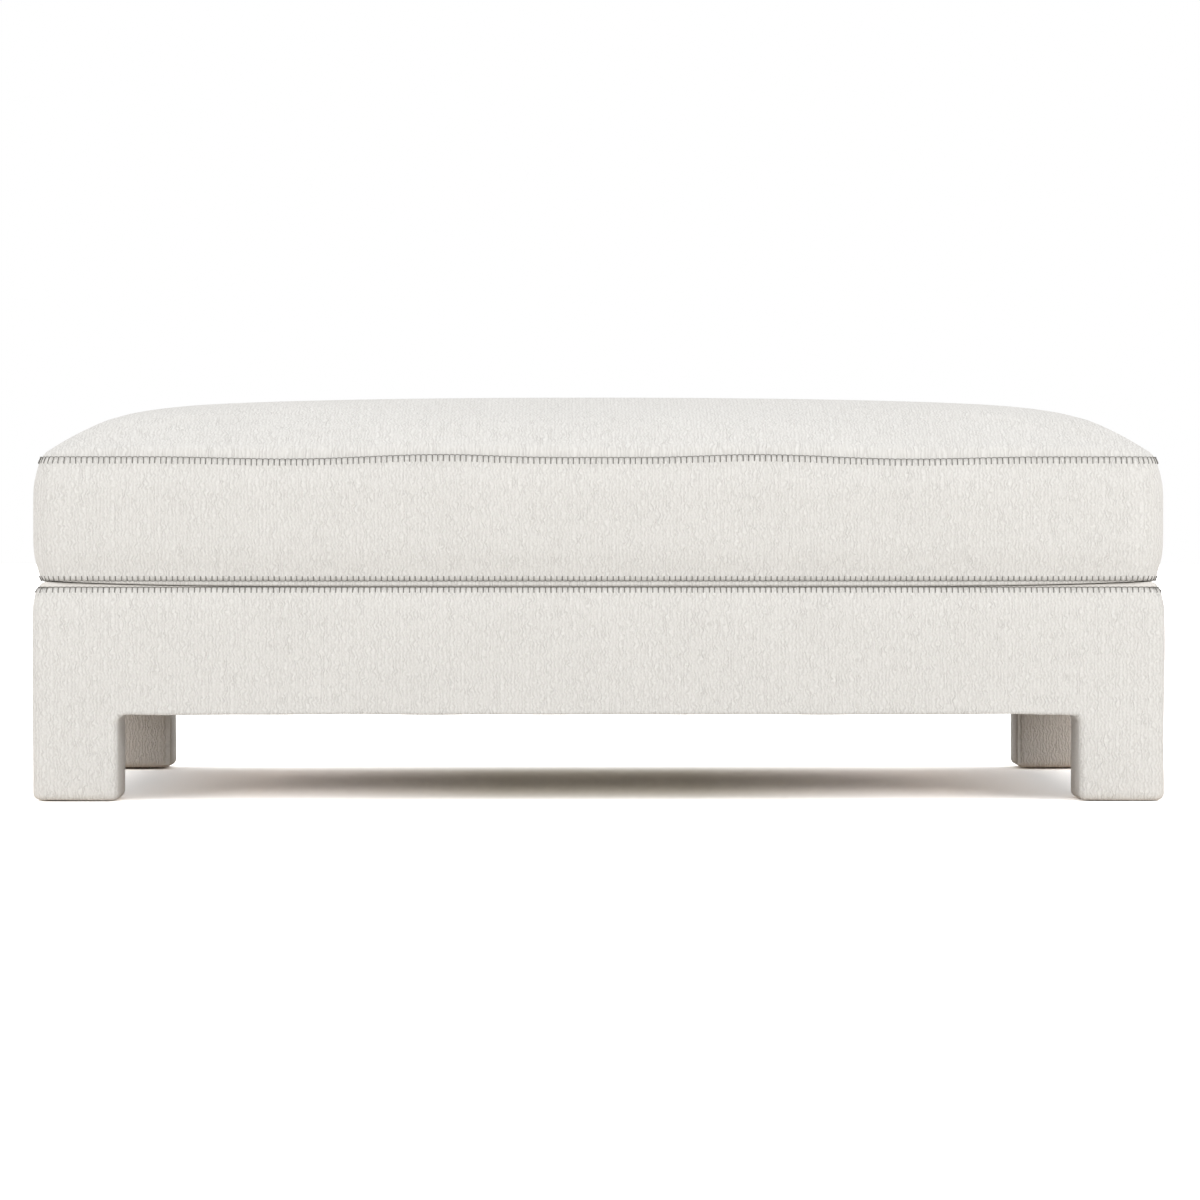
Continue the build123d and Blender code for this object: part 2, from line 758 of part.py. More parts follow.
# Fibre wrap under the foam core
with BuildPart() as fibre_wrap_bottom:
    add(bottom_form(fill_inset))
    add(boxing_form(fill_inset))
    with BuildSketch(Plane.XY.offset(cushion_underside)):
        Rectangle(table_width, table_depth)
    extrude(amount=core_underside - cushion_underside, mode=Mode.INTERSECT)
fibre_wrap_bottom.part.label = "fibre_wrap_bottom"
export_step(fibre_wrap_bottom.part, "parts/fibre_wrap_bottom.step")

# Top panel of the cushion
with BuildPart() as cushion_top_panel:
    add(crown_form(0))
    add(crown_form(cover_thickness), mode=Mode.SUBTRACT)
cushion_top_panel.part.label = "cushion_top_panel"
export_step(cushion_top_panel.part, "parts/cushion_top_panel.step")

# Bottom panel of the cushion
with BuildPart() as cushion_bottom_panel:
    add(bottom_form(0))
    add(bottom_form(cover_thickness), mode=Mode.SUBTRACT)
cushion_bottom_panel.part.label = "cushion_bottom_panel"
export_step(cushion_bottom_panel.part, "parts/cushion_bottom_panel.step")

# The whole boxing as one ring, from which its strips are cut
with BuildPart() as boxing_ring:
    add(boxing_form(0))
    add(boxing_form(cover_thickness), mode=Mode.SUBTRACT)

# Boxing round the front and the sides, ending on either side of the zipper panel
with BuildPart() as cushion_boxing:
    add(boxing_ring.part)
    with BuildSketch(Plane.XY.offset(seam_low)):
        with Locations((0, rear_face)):
            Rectangle(zip_panel_width, rear_face)
    extrude(amount=boxing_height, mode=Mode.SUBTRACT)
cushion_boxing.part.label = "cushion_boxing"
export_step(cushion_boxing.part, "parts/cushion_boxing.step")

# Strips above and below the zipper, each with a flange folded in towards the tape
for strip_name, upward in (("upper", 1), ("lower", -1)):
    strip_align = Align.MIN if upward > 0 else Align.MAX
    lip_level = zip_level + upward * trough_half
    with BuildPart() as back_boxing:
        add(boxing_ring.part)
        with Locations((0, rear_face, lip_level)):
            Box(
                zip_panel_width,
                rear_face,
                boxing_height,
                align=(Align.CENTER, Align.CENTER, strip_align),
                mode=Mode.INTERSECT,
            )
        with Locations((0, rear_face - trough_depth, lip_level)):
            Box(
                zip_panel_width,
                trough_depth - cover_thickness / 2,
                cover_thickness,
                align=(Align.CENTER, Align.MIN, strip_align),
            )
    back_boxing.part.label = f"back_boxing_{strip_name}"
    export_step(back_boxing.part, f"parts/back_boxing_{strip_name}.step")

    # Woven tape from the flange to the coil
    with BuildPart() as zipper_tape:
        with Locations((0, tape_middle, zip_level + upward * coil_outer)):
            Box(
                zip_panel_width,
                tape_thickness,
                flange_outer - coil_outer,
                align=(Align.CENTER, Align.CENTER, strip_align),
            )
    zipper_tape.part.label = f"zipper_tape_{strip_name}"
    export_step(zipper_tape.part, f"parts/zipper_tape_{strip_name}.step")

    # Row of the coil on that tape
    with BuildPart() as zipper_coil:
        with Locations((0, tape_middle, zip_level + upward * coil_slot / 2)):
            Box(
                zip_length, coil_thickness, coil_width, align=(Align.CENTER, Align.CENTER, strip_align)
            )
    zipper_coil.part.label = f"zipper_coil_{strip_name}"
    export_step(zipper_coil.part, f"parts/zipper_coil_{strip_name}.step")

# Thread rings along the top and bottom seams of the cushion
for seam_name, seam, thread_align in (("top", seam_high, Align.MIN), ("bottom", seam_low, Align.MAX)):
    with BuildPart() as seam_stitch:
        with BuildSketch(Plane.XY.offset(seam)):
            RectangleRounded(
                table_width - 2 * (boxing_bulge - stitch_thickness),
                table_depth - 2 * (boxing_bulge - stitch_thickness),
                cushion_corner_radius - boxing_bulge + stitch_thickness,
            )
            RectangleRounded(
                table_width - 2 * boxing_bulge,
                table_depth - 2 * boxing_bulge,
                cushion_corner_radius - boxing_bulge,
                mode=Mode.SUBTRACT,
            )
        extrude(amount=stitch_thickness if thread_align == Align.MIN else -stitch_thickness)
    seam_stitch.part.label = f"{seam_name}_seam_stitch"
    export_step(seam_stitch.part, f"parts/{seam_name}_seam_stitch.step")

# Stops at both ends of the coil
with BuildPart() as zipper_stops:
    with Locations((0, tape_middle, zip_level)):
        with GridLocations(zip_length + stop_length, 0, 2, 1):
            Box(stop_length, coil_thickness, 2 * coil_outer)
zipper_stops.part.label = "zipper_stops"
export_step(zipper_stops.part, "parts/zipper_stops.step")

# Slider, closed at the right end: two plates joined by a web that runs between the coil rows,
# and a bridge that holds the pull
slider_x = zip_length / 2 - stop_gap - slider_length / 2
slider_travel = zip_length - slider_length - 2 * stop_gap
window_height = 2 * (pull_pin_radius + pull_pin_gap)
pin_y = tape_middle + plate_outer + window_height / 2
with BuildPart() as zipper_slider:
    with BuildSketch(Plane.XZ.offset(-(tape_middle + plate_inner))):
        with Locations((slider_x, zip_level)):
            RectangleRounded(slider_length, slider_width, slider_corner_radius)
    extrude(amount=-slider_plate)
    with BuildSketch(Plane.XZ.offset(-(tape_middle - plate_inner))):
        with Locations((slider_x, zip_level)):
            RectangleRounded(slider_length, slider_width, slider_corner_radius)
    extrude(amount=slider_plate)
    with Locations((slider_x, tape_middle, zip_level)):
        Box(slider_web_length, 2 * plate_inner, coil_slot - 2 * slider_gap)
    with Locations((slider_x, tape_middle + plate_outer, zip_level)):
        Box(
            bridge_length,
            window_height + bridge_wall,
            bridge_width,
            align=(Align.CENTER, Align.MIN, Align.CENTER),
        )
        Box(
            bridge_window,
            window_height,
            bridge_width,
            align=(Align.CENTER, Align.MIN, Align.CENTER),
            mode=Mode.SUBTRACT,
        )
zipper_slider.part.label = "zipper_slider"
export_step(zipper_slider.part, "parts/zipper_slider.step")

# Pull tab, lying back along the coil from its pin under the bridge
with BuildPart() as zipper_pull:
    with BuildSketch(Plane.XZ.offset(-pin_y)):
        with Locations((slider_x - pull_length / 2, zip_level)):
            RectangleRounded(pull_length, pull_width, pull_corner_radius)
        with Locations((slider_x, zip_level)):
            Rectangle(pull_window, pull_width, align=(Align.MAX, Align.CENTER))
            Rectangle(
                pull_window,
                bridge_width + 2 * pull_side_gap,
                align=(Align.MAX, Align.CENTER),
                mode=Mode.SUBTRACT,
            )
    extrude(amount=pull_thickness / 2, both=True)
    with Locations((slider_x, pin_y, zip_level)):
        Cylinder(pull_pin_radius, pull_width)
zipper_pull.part.label = "zipper_pull"
export_step(zipper_pull.part, "parts/zipper_pull.step")

print("rail height", rail_height, "springs", spring_count, "bars", bar_gaps + 1)
print("spring bend radius", bar_pitch / 2, "least gap between bars", bar_pitch - spring_wire)
print("crown top", seam_high + crown_height, "slider travel", slider_travel)
print("pull axis", slider_x, pin_y, zip_level)
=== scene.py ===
"""The looks of the ottoman coffee table: fabric, blanket stitch, zipper, underside, light and camera."""

import json
from math import pi, radians

import bpy
import numpy as np
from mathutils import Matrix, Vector


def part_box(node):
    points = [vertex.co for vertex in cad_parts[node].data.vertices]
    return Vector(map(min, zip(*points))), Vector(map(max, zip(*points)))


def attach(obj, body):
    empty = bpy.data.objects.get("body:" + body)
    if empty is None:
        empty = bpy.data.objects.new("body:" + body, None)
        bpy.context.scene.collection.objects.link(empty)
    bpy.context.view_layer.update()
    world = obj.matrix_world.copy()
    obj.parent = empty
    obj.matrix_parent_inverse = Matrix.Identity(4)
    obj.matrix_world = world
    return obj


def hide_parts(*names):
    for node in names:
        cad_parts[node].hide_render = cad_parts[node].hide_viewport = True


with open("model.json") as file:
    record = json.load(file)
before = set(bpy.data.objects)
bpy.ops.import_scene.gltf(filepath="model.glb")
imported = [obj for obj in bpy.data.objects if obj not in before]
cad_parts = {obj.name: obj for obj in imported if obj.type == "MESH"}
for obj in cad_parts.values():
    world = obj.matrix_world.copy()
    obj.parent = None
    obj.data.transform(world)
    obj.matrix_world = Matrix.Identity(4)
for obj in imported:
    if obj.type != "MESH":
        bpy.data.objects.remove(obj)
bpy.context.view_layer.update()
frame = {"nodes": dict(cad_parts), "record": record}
rng = np.random.default_rng(7)

# Places taken from the CAD frame, in metres
base_low, base_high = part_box("base_cover")
deck_level = base_high.z
base_half = np.array([base_high.x, base_high.y])
seam_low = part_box("bottom_seam_stitch")[1].z
seam_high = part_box("top_seam_stitch")[0].z
cushion_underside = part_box("cushion_bottom_panel")[0].z
apron_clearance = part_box("dust_cover")[1].z
leg_foot = base_low.z
glide_low, glide_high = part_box("front_right_glide")
glide_spot = (glide_low + glide_high) / 2
glide_reach = (glide_high.x - glide_low.x) / 2
boxing_height = seam_high - seam_low
trough_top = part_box("back_boxing_upper")[0].z
trough_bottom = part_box("back_boxing_lower")[1].z
trough_half_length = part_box("back_boxing_upper")[1].x
tape_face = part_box("zipper_tape_upper")[1].y
zip_level = (trough_top + trough_bottom) / 2

# Shape of the base fabric: padded, so it stands a little proud, most at mid-height
leg_size = 0.099
base_corner_radius = 0.018
leg_puff = 0.0020
apron_puff = 0.0007
puff_level = 0.180
puff_reach = 0.060
shoulder_height = 0.026
shoulder_lip = 0.005
shoulder_inset = 0.0075
shoulder_power = 1.3
shoulder_share = 0.6
arch_radius = 0.010
apron_edge_radius = 0.003
leg_edge_radius = 0.010
foot_radius = 0.008
leg_blend = 0.012
hem_drop = 0.0008
hem_width = 0.009
hem_fade = 0.010
hem_evenness = 0.6
hem_wave = (19, 23)
hem_wave_start = 0.7
foot_level = 0.0012
rear_foot_level = 0.0026
dish_gap = 0.004
dish_width = 0.010
sole_height = 0.0005
lip_reach = 0.030
swell_height = 0.0003
swell_fade = 0.03
swell_waves = ((23, 17, 0, 1.0), (41, -31, 29, 0.0))
base_spacing = 0.009
tolerance = 1e-6
tiny = 1e-9
face_margin = 1e-4

# Shape of the cushion
boxing_bulge = 0.0085
bulge_power = 4.6
seam_corner_radius = 0.035
seam_inset = 0.007
end_gain = 0.0005
seam_half = base_half - seam_inset + np.array([end_gain, 0.0])
ridge_width = 0.006
ridge_rise = 0.0008
ridge_start = 0.002
crown_rise = 0.0800
crown_side_reach = 0.0512
crown_side_power = 0.853
crown_front_reach = 0.0507
crown_front_power = 0.704
crown_end_drop = 0.17
corner_fullness = 0.35
crown_wave_reach = 0.05
cushion_spacing = 0.0095
back_depth = 0.002
trough_margin = 0.001
fold_shares = (0.12, 0.5, 1.0)

# Where the cushion rests on the deck: its lower rim is round, its corners curl up, and the deck
# swells up towards them
bottom_rim = 0.007
bottom_rim_power = 2.6
strip_bulge = 0.0028
strip_place = 0.0015
strip_width = 0.0016
corner_lift = 0.96
corner_lift_reach = 0.125
corner_lift_power = 1.2
deck_follow = 0.88
deck_rim = 0.008
deck_dip = 0.0006
dip_start = 0.012
dip_reach = 0.05
dip_variation = 0.5
dip_waves = (31, 27)
deck_spacing = 0.016

# Blanket stitch
stitch_pitch = 0.0066
thread_radius = 0.00055
running_radius = 0.0004
top_tooth = 0.0070
bottom_tooth = 0.0050
base_tooth = 0.0058
seam_wave = 0.0026
seam_wave_length = 0.364
seam_wave_tail = 0.16
seam_wave_fade = 0.06
middle_wave = 0.25
thread_arch = 0.0006
thread_seat = 0.2
thread_lift = 0.5
thread_sides = 8
stitch_lean = 0.05
tooth_spread = 0.04
tooth_skew = 0.0001

# Cloth simulation of the cushion, and how far its result is followed
sim_frames = 20
sim_cap = 0.005
boxing_swell = 0.0026
crown_middle = 0.9
smooth_passes = 12
seam_hold = 0.006
seam_release = 0.028
trough_hold = 0.01
trough_release = 0.05

# Zipper
coil_pitch = 0.0014
coil_wire = 0.00032
coil_steps = 10
tape_columns = 300
tape_rim = 0.00025
topstitch_pitch = 0.0032
topstitch_length = 0.72
topstitch_start = 0.2
topstitch_gap = 0.0045
topstitch_radius = 0.00028
fine_sides = 6

# Dust sheet
notch_gap = 0.003
dust_inset = 0.022
dust_notch = leg_size + arch_radius + notch_gap - dust_inset
dust_spacing = 0.012
dust_sag = 0.004
sag_reach = 0.35
pucker_depth = 0.0003
pucker_pitch = 0.06
pucker_reach = 0.03

# Cloth: each noise has cycles per ridge and per slub, detail and roughness
wander_noise = (0.6, 1, 1.0, 0.5)
strength_noise = (0.4, 0.6, 1.0, 0.5)
fine_noise = (2.4, 3.0, 2.0, 0.6)
cloud_scale = (11.0, 7.0, 1)
wander_turn = 14.0
ridge_heights = (0.1, 0.34)
strength_range = (0.3, 0.7)
fine_share = 0.8
cloud_share = 0.2
weave_share = 0.06
weave_range = (0.05, 0.95)
cloth_gloss = {"Roughness": 0.92, "Specular IOR Level": 0.15, "Sheen Roughness": 0.5}

# Thread
plies = 2.0
ply_share = 0.35
fuzz_scale = (6.0, 900.0, 1)
thread_range = (0.1, 0.9)
thread_depth = 0.0002
thread_gloss = {"Roughness": 0.8, "Specular IOR Level": 0.25, "Sheen Weight": 0.2}

# Grain of the wood, metal, plastic, foam and felt
grain_detail = 3.0
grain_roughness = 0.6
grain_range = (0.3, 0.7)
grain_depth = 0.0003
gloss_spread = 0.08

# Camera, as the photograph shows the table
camera_place = (-0.047, -6.064, 0.315)
camera_lens = 144.85
camera_sensor = 36.0
camera_far = 200.0
camera_pitch = 0.81
camera_yaw = 0.49

# The floor in the open, under the table and towards its ends: first as it is seen, then as it
# throws light back; each reach holds the distances between which one tint passes into the next
floor_open = (2.6, 2.6, 2.6)
# The next two tints, seen under the table and towards its ends, are painted light: they make the floor's
# shadow there brighter and warmer.
floor_painted_core = (4.2, 3.87, 3.3)
floor_painted_ends = (6.1, 5.65, 5.3)
bounce_open = (0.84, 0.82, 0.79)
# This tint is painted warm bounce light: the floor under and beside the table is warm only in the light
# it throws back, which warms the shade on the legs and lower faces.
bounce_painted_warmth = (0.90, 0.71, 0.54)
painted_core_reach = (0.42, 0.57, 0.20, 0.42)
painted_ends_reach = (0.12, 0.34)
painted_bounce_reach = (0.72, 0.98, 0.36, 0.46)
floor_size = 40.0

# Light from all round, paler above than below, and the lamps: name, place, aim, size and power
ambient_high = (1.03, 1.03, 1.025)
ambient_low = (0.25, 0.21, 0.17)
ambient_band = (0.06, 0.30)
lamps = (
    ("key_light", (1.2, -2.6, 3.2), (0, 0, 0.3), (2.6, 2.6), 3.5),
    ("side_light", (3.2, -1.8, 0.8), (0.4, 0, 0.1), (1.4, 1.4), 1.6),
    ("left_fill", (-2.7, -3.4, 0.8), (0.3, -0.4, 0.1), (1.6, 1.6), 18.1),
    ("right_fill", (2.7, -3.4, 0.8), (-0.3, -0.4, 0.1), (1.6, 1.6), 21.7),
)


# Mesh helpers

def smoothstep(x):
    x = np.clip(x, 0.0, 1.0)
    return x * x * (3 - 2 * x)


def add_to_scene(name, data):
    made = bpy.data.objects.new(name, data)
    bpy.context.scene.collection.objects.link(made)
    return made


def new_piece(name, points, quads, uv=None, material=None):
    """A smooth mesh object from arrays of points and faces, with its weave coordinates in metres."""
    mesh = bpy.data.meshes.new(name)
    mesh.from_pydata(np.asarray(points, float).tolist(), [], [list(map(int, q)) for q in quads])
    mesh.update()
    if uv is not None:
        layer = mesh.uv_layers.new(name="weave")
        layer.data.foreach_set("uv", np.asarray(uv, float).reshape(-1))
    mesh.polygons.foreach_set("use_smooth", [True] * len(mesh.polygons))
    if material is not None:
        mesh.materials.append(material)
    return add_to_scene(name, mesh)


def used_only(points, quads):
    """Leaves out the points that no face uses."""
    used, quads = np.unique(quads, return_inverse=True)
    return points[used], quads.reshape(-1, 4)


def subdivide(piece):
    modifier = piece.modifiers.new("subdivision", "SUBSURF")
    modifier.levels = 1
    bpy.context.view_layer.objects.active = piece
    with bpy.context.temp_override(object=piece, active_object=piece):
        bpy.ops.object.modifier_apply(modifier=modifier.name)


def lattice_lines(places, spacing, edge_steps):
    """Lines through every place, close together on both sides of it."""
    lines = set(places)
    for low, high in zip(places, places[1:]):
        for step in edge_steps:
            lines.add(low + step)
            lines.add(high - step)
        inner_low, inner_high = low + edge_steps[-1], high - edge_steps[-1]
        count = 2 * int(np.ceil((inner_high - inner_low) / spacing / 2))
        lines.update(np.linspace(inner_low, inner_high, count + 1)[1:-1])
    return np.array(sorted(lines))


def graded_lines(half, spacing, edge_steps, keep=()):
    """Lattice lines from -half to half, with the nearest one moved to each kept place."""
    lines = lattice_lines([-half, half], spacing, edge_steps)
    for place in keep:
        lines[np.argmin(abs(lines - place))] = place
    return lines


def round_corner(x, y, half, radius):
    """Moves points of a square-cornered plan onto rings that are round at the corners."""
    dx = abs(x) - (half[0] - radius)
    dy = abs(y) - (half[1] - radius)
    inside = (dx > 0) & (dy > 0)
    reach = np.maximum(dx, dy)
    length = np.where(inside, np.hypot(dx, dy), 1.0)
    ratio = np.where(inside, reach / length, 1.0)
    new_x = np.where(inside, np.sign(x) * (half[0] - radius + dx * ratio), x)
    new_y = np.where(inside, np.sign(y) * (half[1] - radius + dy * ratio), y)
    return new_x, new_y


def flat_uv(points, quads):
    """Weave coordinates for a level cloth, straight down on it."""
    return points[quads][..., :2]


def grid_quads(rows, columns, start=0):
    index = start + np.arange(rows * columns).reshape(rows, columns)
    return np.stack([index[:-1, :-1], index[:-1, 1:], index[1:, 1:], index[1:, :-1]], -1).reshape(-1, 4)


def side_wave(along, half):
    """Gentle rise and fall of the top seam, as the photograph shows it along the front."""
    place = abs(along)
    strength = middle_wave + (1 - middle_wave) * smoothstep(place / (seam_wave_length / 2))
    wave = strength * np.cos(2 * pi * place / seam_wave_length)
    tail = 1 - smoothstep((place - seam_wave_length) / seam_wave_tail)
    fade = smoothstep((half - place) / seam_wave_fade)
    return -seam_wave * fade * np.where(place > seam_wave_length, tail, wave)


# Materials

def new_material(name):
    material = bpy.data.materials.new(name)
    material.use_nodes = True
    tree = material.node_tree
    return material, tree, tree.nodes["Principled BSDF"]


def node(tree, kind, **settings):
    made = tree.nodes.new(kind)
    for key, value in settings.items():
        setattr(made, key, value)
    return made


def set_sockets(made, values):
    for socket, value in values.items():
        made.inputs[socket].default_value = value


def calc(tree, operation, first, second=None):
    made = node(tree, "ShaderNodeMath", operation=operation)
    for socket, value in zip(made.inputs, (first, second)):
        if value is None:
            continue
        if isinstance(value, (int, float)):
            socket.default_value = value
        else:
            tree.links.new(value, socket)
    return made.outputs[0]


def sine(tree, value, rate):
    return calc(tree, "SINE", calc(tree, "MULTIPLY", value, rate))


def with_share(tree, value, other, share):
    """A value plus a share of another."""
    return calc(tree, "ADD", value, calc(tree, "MULTIPLY", other, share))


def scaled(tree, vector, scale):
    made = node(tree, "ShaderNodeVectorMath", operation="MULTIPLY")
    tree.links.new(vector, made.inputs[0])
    made.inputs[1].default_value = scale
    return made.outputs[0]


def axes(tree, vector):
    """The three parts of a vector."""
    parts = node(tree, "ShaderNodeSeparateXYZ")
    tree.links.new(vector, parts.inputs[0])
    return parts.outputs


def weave_place(tree):
    return node(tree, "ShaderNodeUVMap", uv_map="weave").outputs["UV"]


def place_on(tree, kind):
    return node(tree, "ShaderNodeTexCoord").outputs[kind]


def noise(tree, vector, detail=2.0, roughness=0.5):
    made = node(tree, "ShaderNodeTexNoise")
    set_sockets(made, {"Scale": 1.0, "Detail": detail, "Roughness": roughness})
    tree.links.new(vector, made.inputs["Vector"])
    return made.outputs["Fac"]


def ramp(tree, factor, low, high, start=0.0, end=1.0):
    """Goes from low to high while the factor goes from start to end, and stays there beyond."""
    made = node(tree, "ShaderNodeMapRange")
    set_sockets(made, {"From Min": start, "From Max": end, "To Min": low, "To Max": high})
    tree.links.new(factor, made.inputs["Value"])
    return made.outputs["Result"]


def tinted(tree, factor, dark, light):
    """Blend of two colours, each of which is a colour or a socket."""
    made = node(tree, "ShaderNodeMix", data_type="RGBA")
    factor_socket, *_, dark_socket, light_socket = [
        socket for socket in made.inputs if socket.enabled
    ]
    for socket, color in ((dark_socket, dark), (light_socket, light)):
        if isinstance(color, tuple):
            socket.default_value = (*color, 1)
        else:
            tree.links.new(color, socket)
    tree.links.new(factor, factor_socket)
    return next(socket for socket in made.outputs if socket.enabled)


def surface(tree, shader, factor, dark, light, height, depth, gloss):
    """Colour between two tints, a relief of the given depth, and the constants of the shader."""
    tree.links.new(tinted(tree, factor, dark, light), shader.inputs["Base Color"])
    relief = node(tree, "ShaderNodeBump")
    set_sockets(relief, {"Strength": 1.0, "Distance": depth})
    tree.links.new(height, relief.inputs["Height"])
    tree.links.new(relief.outputs["Normal"], shader.inputs["Normal"])
    set_sockets(shader, gloss)


def woven(name, light, dark, thread_pitch, ridge_pitch, slub_length, depth, sheen):
    """Weave in metres on the weave coordinates: wavy ridges run along V over a plain fine weave."""
    material, tree, shader = new_material(name)
    weave = weave_place(tree)

    def slubs(per_ridge, per_slub, detail, roughness):
        scale = (per_ridge / ridge_pitch, per_slub / slub_length, 1)
        return noise(tree, scaled(tree, weave, scale), detail, roughness)

    wander = slubs(*wander_noise)
    strength = ramp(tree, slubs(*strength_noise), *ridge_heights, *strength_range)
    cloud = noise(tree, scaled(tree, weave, cloud_scale))
    u, v, _ = axes(tree, weave)
    across = calc(tree, "MULTIPLY", u, 2 * pi / ridge_pitch)
    ridges = calc(tree, "SINE", with_share(tree, across, wander, wander_turn))
    height = calc(tree, "MULTIPLY", ridges, strength)
    warp = sine(tree, u, 2 * pi / thread_pitch)
    weft = sine(tree, v, 2 * pi / thread_pitch)
    threads = calc(tree, "MULTIPLY", warp, weft)
    for layer, share in ((slubs(*fine_noise), fine_share), (cloud, cloud_share), (threads, weave_share)):
        height = with_share(tree, height, layer, share)
    # The colour follows the height: the grooves between ridges and threads are darker, partly the yarn's
    # own uneven tone and partly painted shade.
    factor = ramp(tree, height, 0.0, 1.0, *weave_range)
    surface(tree, shader, factor, dark, light, height, depth, {**cloth_gloss, "Sheen Weight": sheen})
    return material


def thread_material(name, light, dark, twist_pitch):
    """Twisted thread: U goes once round the strand, V is the length along it in metres."""
    material, tree, shader = new_material(name)
    weave = weave_place(tree)
    around, along, _ = axes(tree, weave)
    turns = with_share(tree, calc(tree, "MULTIPLY", along, 1 / twist_pitch), around, plies)
    fuzz = noise(tree, scaled(tree, weave, fuzz_scale))
    height = with_share(tree, fuzz, sine(tree, turns, 2 * pi), ply_share)
    # The colour follows the height: darker in the grooves between the twisted plies, which is painted
    # shade, over the fuzz's own uneven tone.
    factor = ramp(tree, height, 0.0, 1.0, *thread_range)
    surface(tree, shader, factor, dark, light, height, thread_depth, thread_gloss)
    return material


def grainy(name, light, dark, scale, roughness, metallic=0.0, specular=0.5):
    """A finish with fine irregular grain in object space; scale is cycles per metre on each axis."""
    material, tree, shader = new_material(name)
    grain = noise(tree, scaled(tree, place_on(tree, "Object"), scale), grain_detail, grain_roughness)
    factor = ramp(tree, grain, 0.0, 1.0, *grain_range)
    gloss = {"Metallic": metallic, "Specular IOR Level": specular}
    surface(tree, shader, factor, dark, light, grain, grain_depth, gloss)
    uneven = ramp(tree, grain, roughness - gloss_spread, min(roughness + gloss_spread, 1.0))
    tree.links.new(uneven, shader.inputs["Roughness"])
    return material


# Each cloth's dark tint lies in its grooves: partly the yarn's own tone, partly painted shade.
cover_fabric = woven(
    "cover_fabric", (0.91, 0.898, 0.876), (0.70, 0.685, 0.661),
    thread_pitch=0.0011, ridge_pitch=0.0042, slub_length=0.0075, depth=0.0011, sheen=0.10,
)
lining_cloth = woven(
    "lining_cloth", (0.86, 0.83, 0.795), (0.79, 0.76, 0.72),
    thread_pitch=0.0009, ridge_pitch=0.0022, slub_length=0.005, depth=0.0003, sheen=0.05,
)
tape_cloth = woven(
    "tape_cloth", (0.80, 0.77, 0.73), (0.70, 0.67, 0.63),
    thread_pitch=0.0008, ridge_pitch=0.0012, slub_length=0.0012, depth=0.0003, sheen=0.05,
)
dust_cloth = woven(
    "dust_cloth", (0.030, 0.024, 0.020), (0.012, 0.010, 0.009),
    thread_pitch=0.0014, ridge_pitch=0.0022, slub_length=0.0022, depth=0.0004, sheen=0.0,
)
stitch_thread = thread_material(
    "stitch_thread", (0.235, 0.225, 0.21), (0.15, 0.142, 0.13), twist_pitch=0.0022
)
seam_thread = thread_material(
    "seam_thread", (0.80, 0.77, 0.73), (0.66, 0.63, 0.59), twist_pitch=0.0012
)
planed_wood = grainy("planed_wood", (0.62, 0.44, 0.27), (0.46, 0.30, 0.17), (40, 40, 6), roughness=0.7)
zinc_steel = grainy(
    "zinc_steel", (0.62, 0.62, 0.61), (0.5, 0.5, 0.5), (300, 300, 300), roughness=0.35, metallic=1.0
)
oiled_steel = grainy(
    "oiled_steel", (0.20, 0.19, 0.18), (0.12, 0.115, 0.11), (200, 200, 200), roughness=0.4, metallic=1.0
)
nickel = grainy(
    "nickel", (0.36, 0.345, 0.32), (0.27, 0.26, 0.24), (900, 250, 250), roughness=0.36, metallic=1.0
)
glide_plastic = grainy(
    "glide_plastic", (0.022, 0.022, 0.022), (0.012, 0.012, 0.012), (700, 700, 700), roughness=0.5
)
coil_nylon = grainy("coil_nylon", (0.80, 0.77, 0.72), (0.70, 0.67, 0.62), (500, 500, 500), roughness=0.4)
wadding = grainy(
    "wadding", (0.86, 0.86, 0.84), (0.74, 0.74, 0.72), (220, 220, 220), roughness=0.95, specular=0.1
)
open_foam = grainy(
    "open_foam", (0.84, 0.81, 0.72), (0.74, 0.71, 0.62), (600, 600, 600), roughness=0.95, specular=0.1
)
pressed_felt = grainy(
    "pressed_felt", (0.40, 0.38, 0.34), (0.28, 0.26, 0.23), (260, 260, 260), roughness=0.95, specular=0.1
)


# Plan outlines with round corners

def outline_length(half, radius):
    return 4 * (half[0] + half[1] - 2 * radius) + 2 * pi * radius


def outline_point(along, half, radius):
    """Point and outward direction on a rounded rectangle, along it from the middle of its front."""
    run_x = half[0] - radius
    run_y = half[1] - radius
    arc = pi * radius / 2
    spans = np.cumsum([run_x, arc, 2 * run_y, arc, 2 * run_x, arc, 2 * run_y, arc, run_x])
    along = np.mod(along, spans[-1])
    piece = np.searchsorted(spans, along, side="right").clip(0, 8)
    local = along - np.concatenate([[0], spans[:-1]])[piece]
    straight = piece % 2 == 0
    turn = (piece + 1) // 2 * pi / 2 - pi / 2
    turn = np.where(straight, turn, turn - pi / 2 + local / radius)
    normal = np.stack([np.cos(turn), np.sin(turn)], -1)
    starts = np.array(
        [[0, -1], [1, -1], [1, -1], [1, 1], [1, 1], [-1, 1], [-1, 1], [-1, -1], [-1, -1]], float
    )
    heads = np.array([[1, 0], [0, 0], [0, 1], [0, 0], [-1, 0], [0, 0], [0, -1], [0, 0], [1, 0]], float)
    centre = starts[piece] * (run_x, run_y)
    arm = np.where(straight[:, None], heads[piece] * local[:, None], 0.0)
    return centre + arm + normal * radius, normal


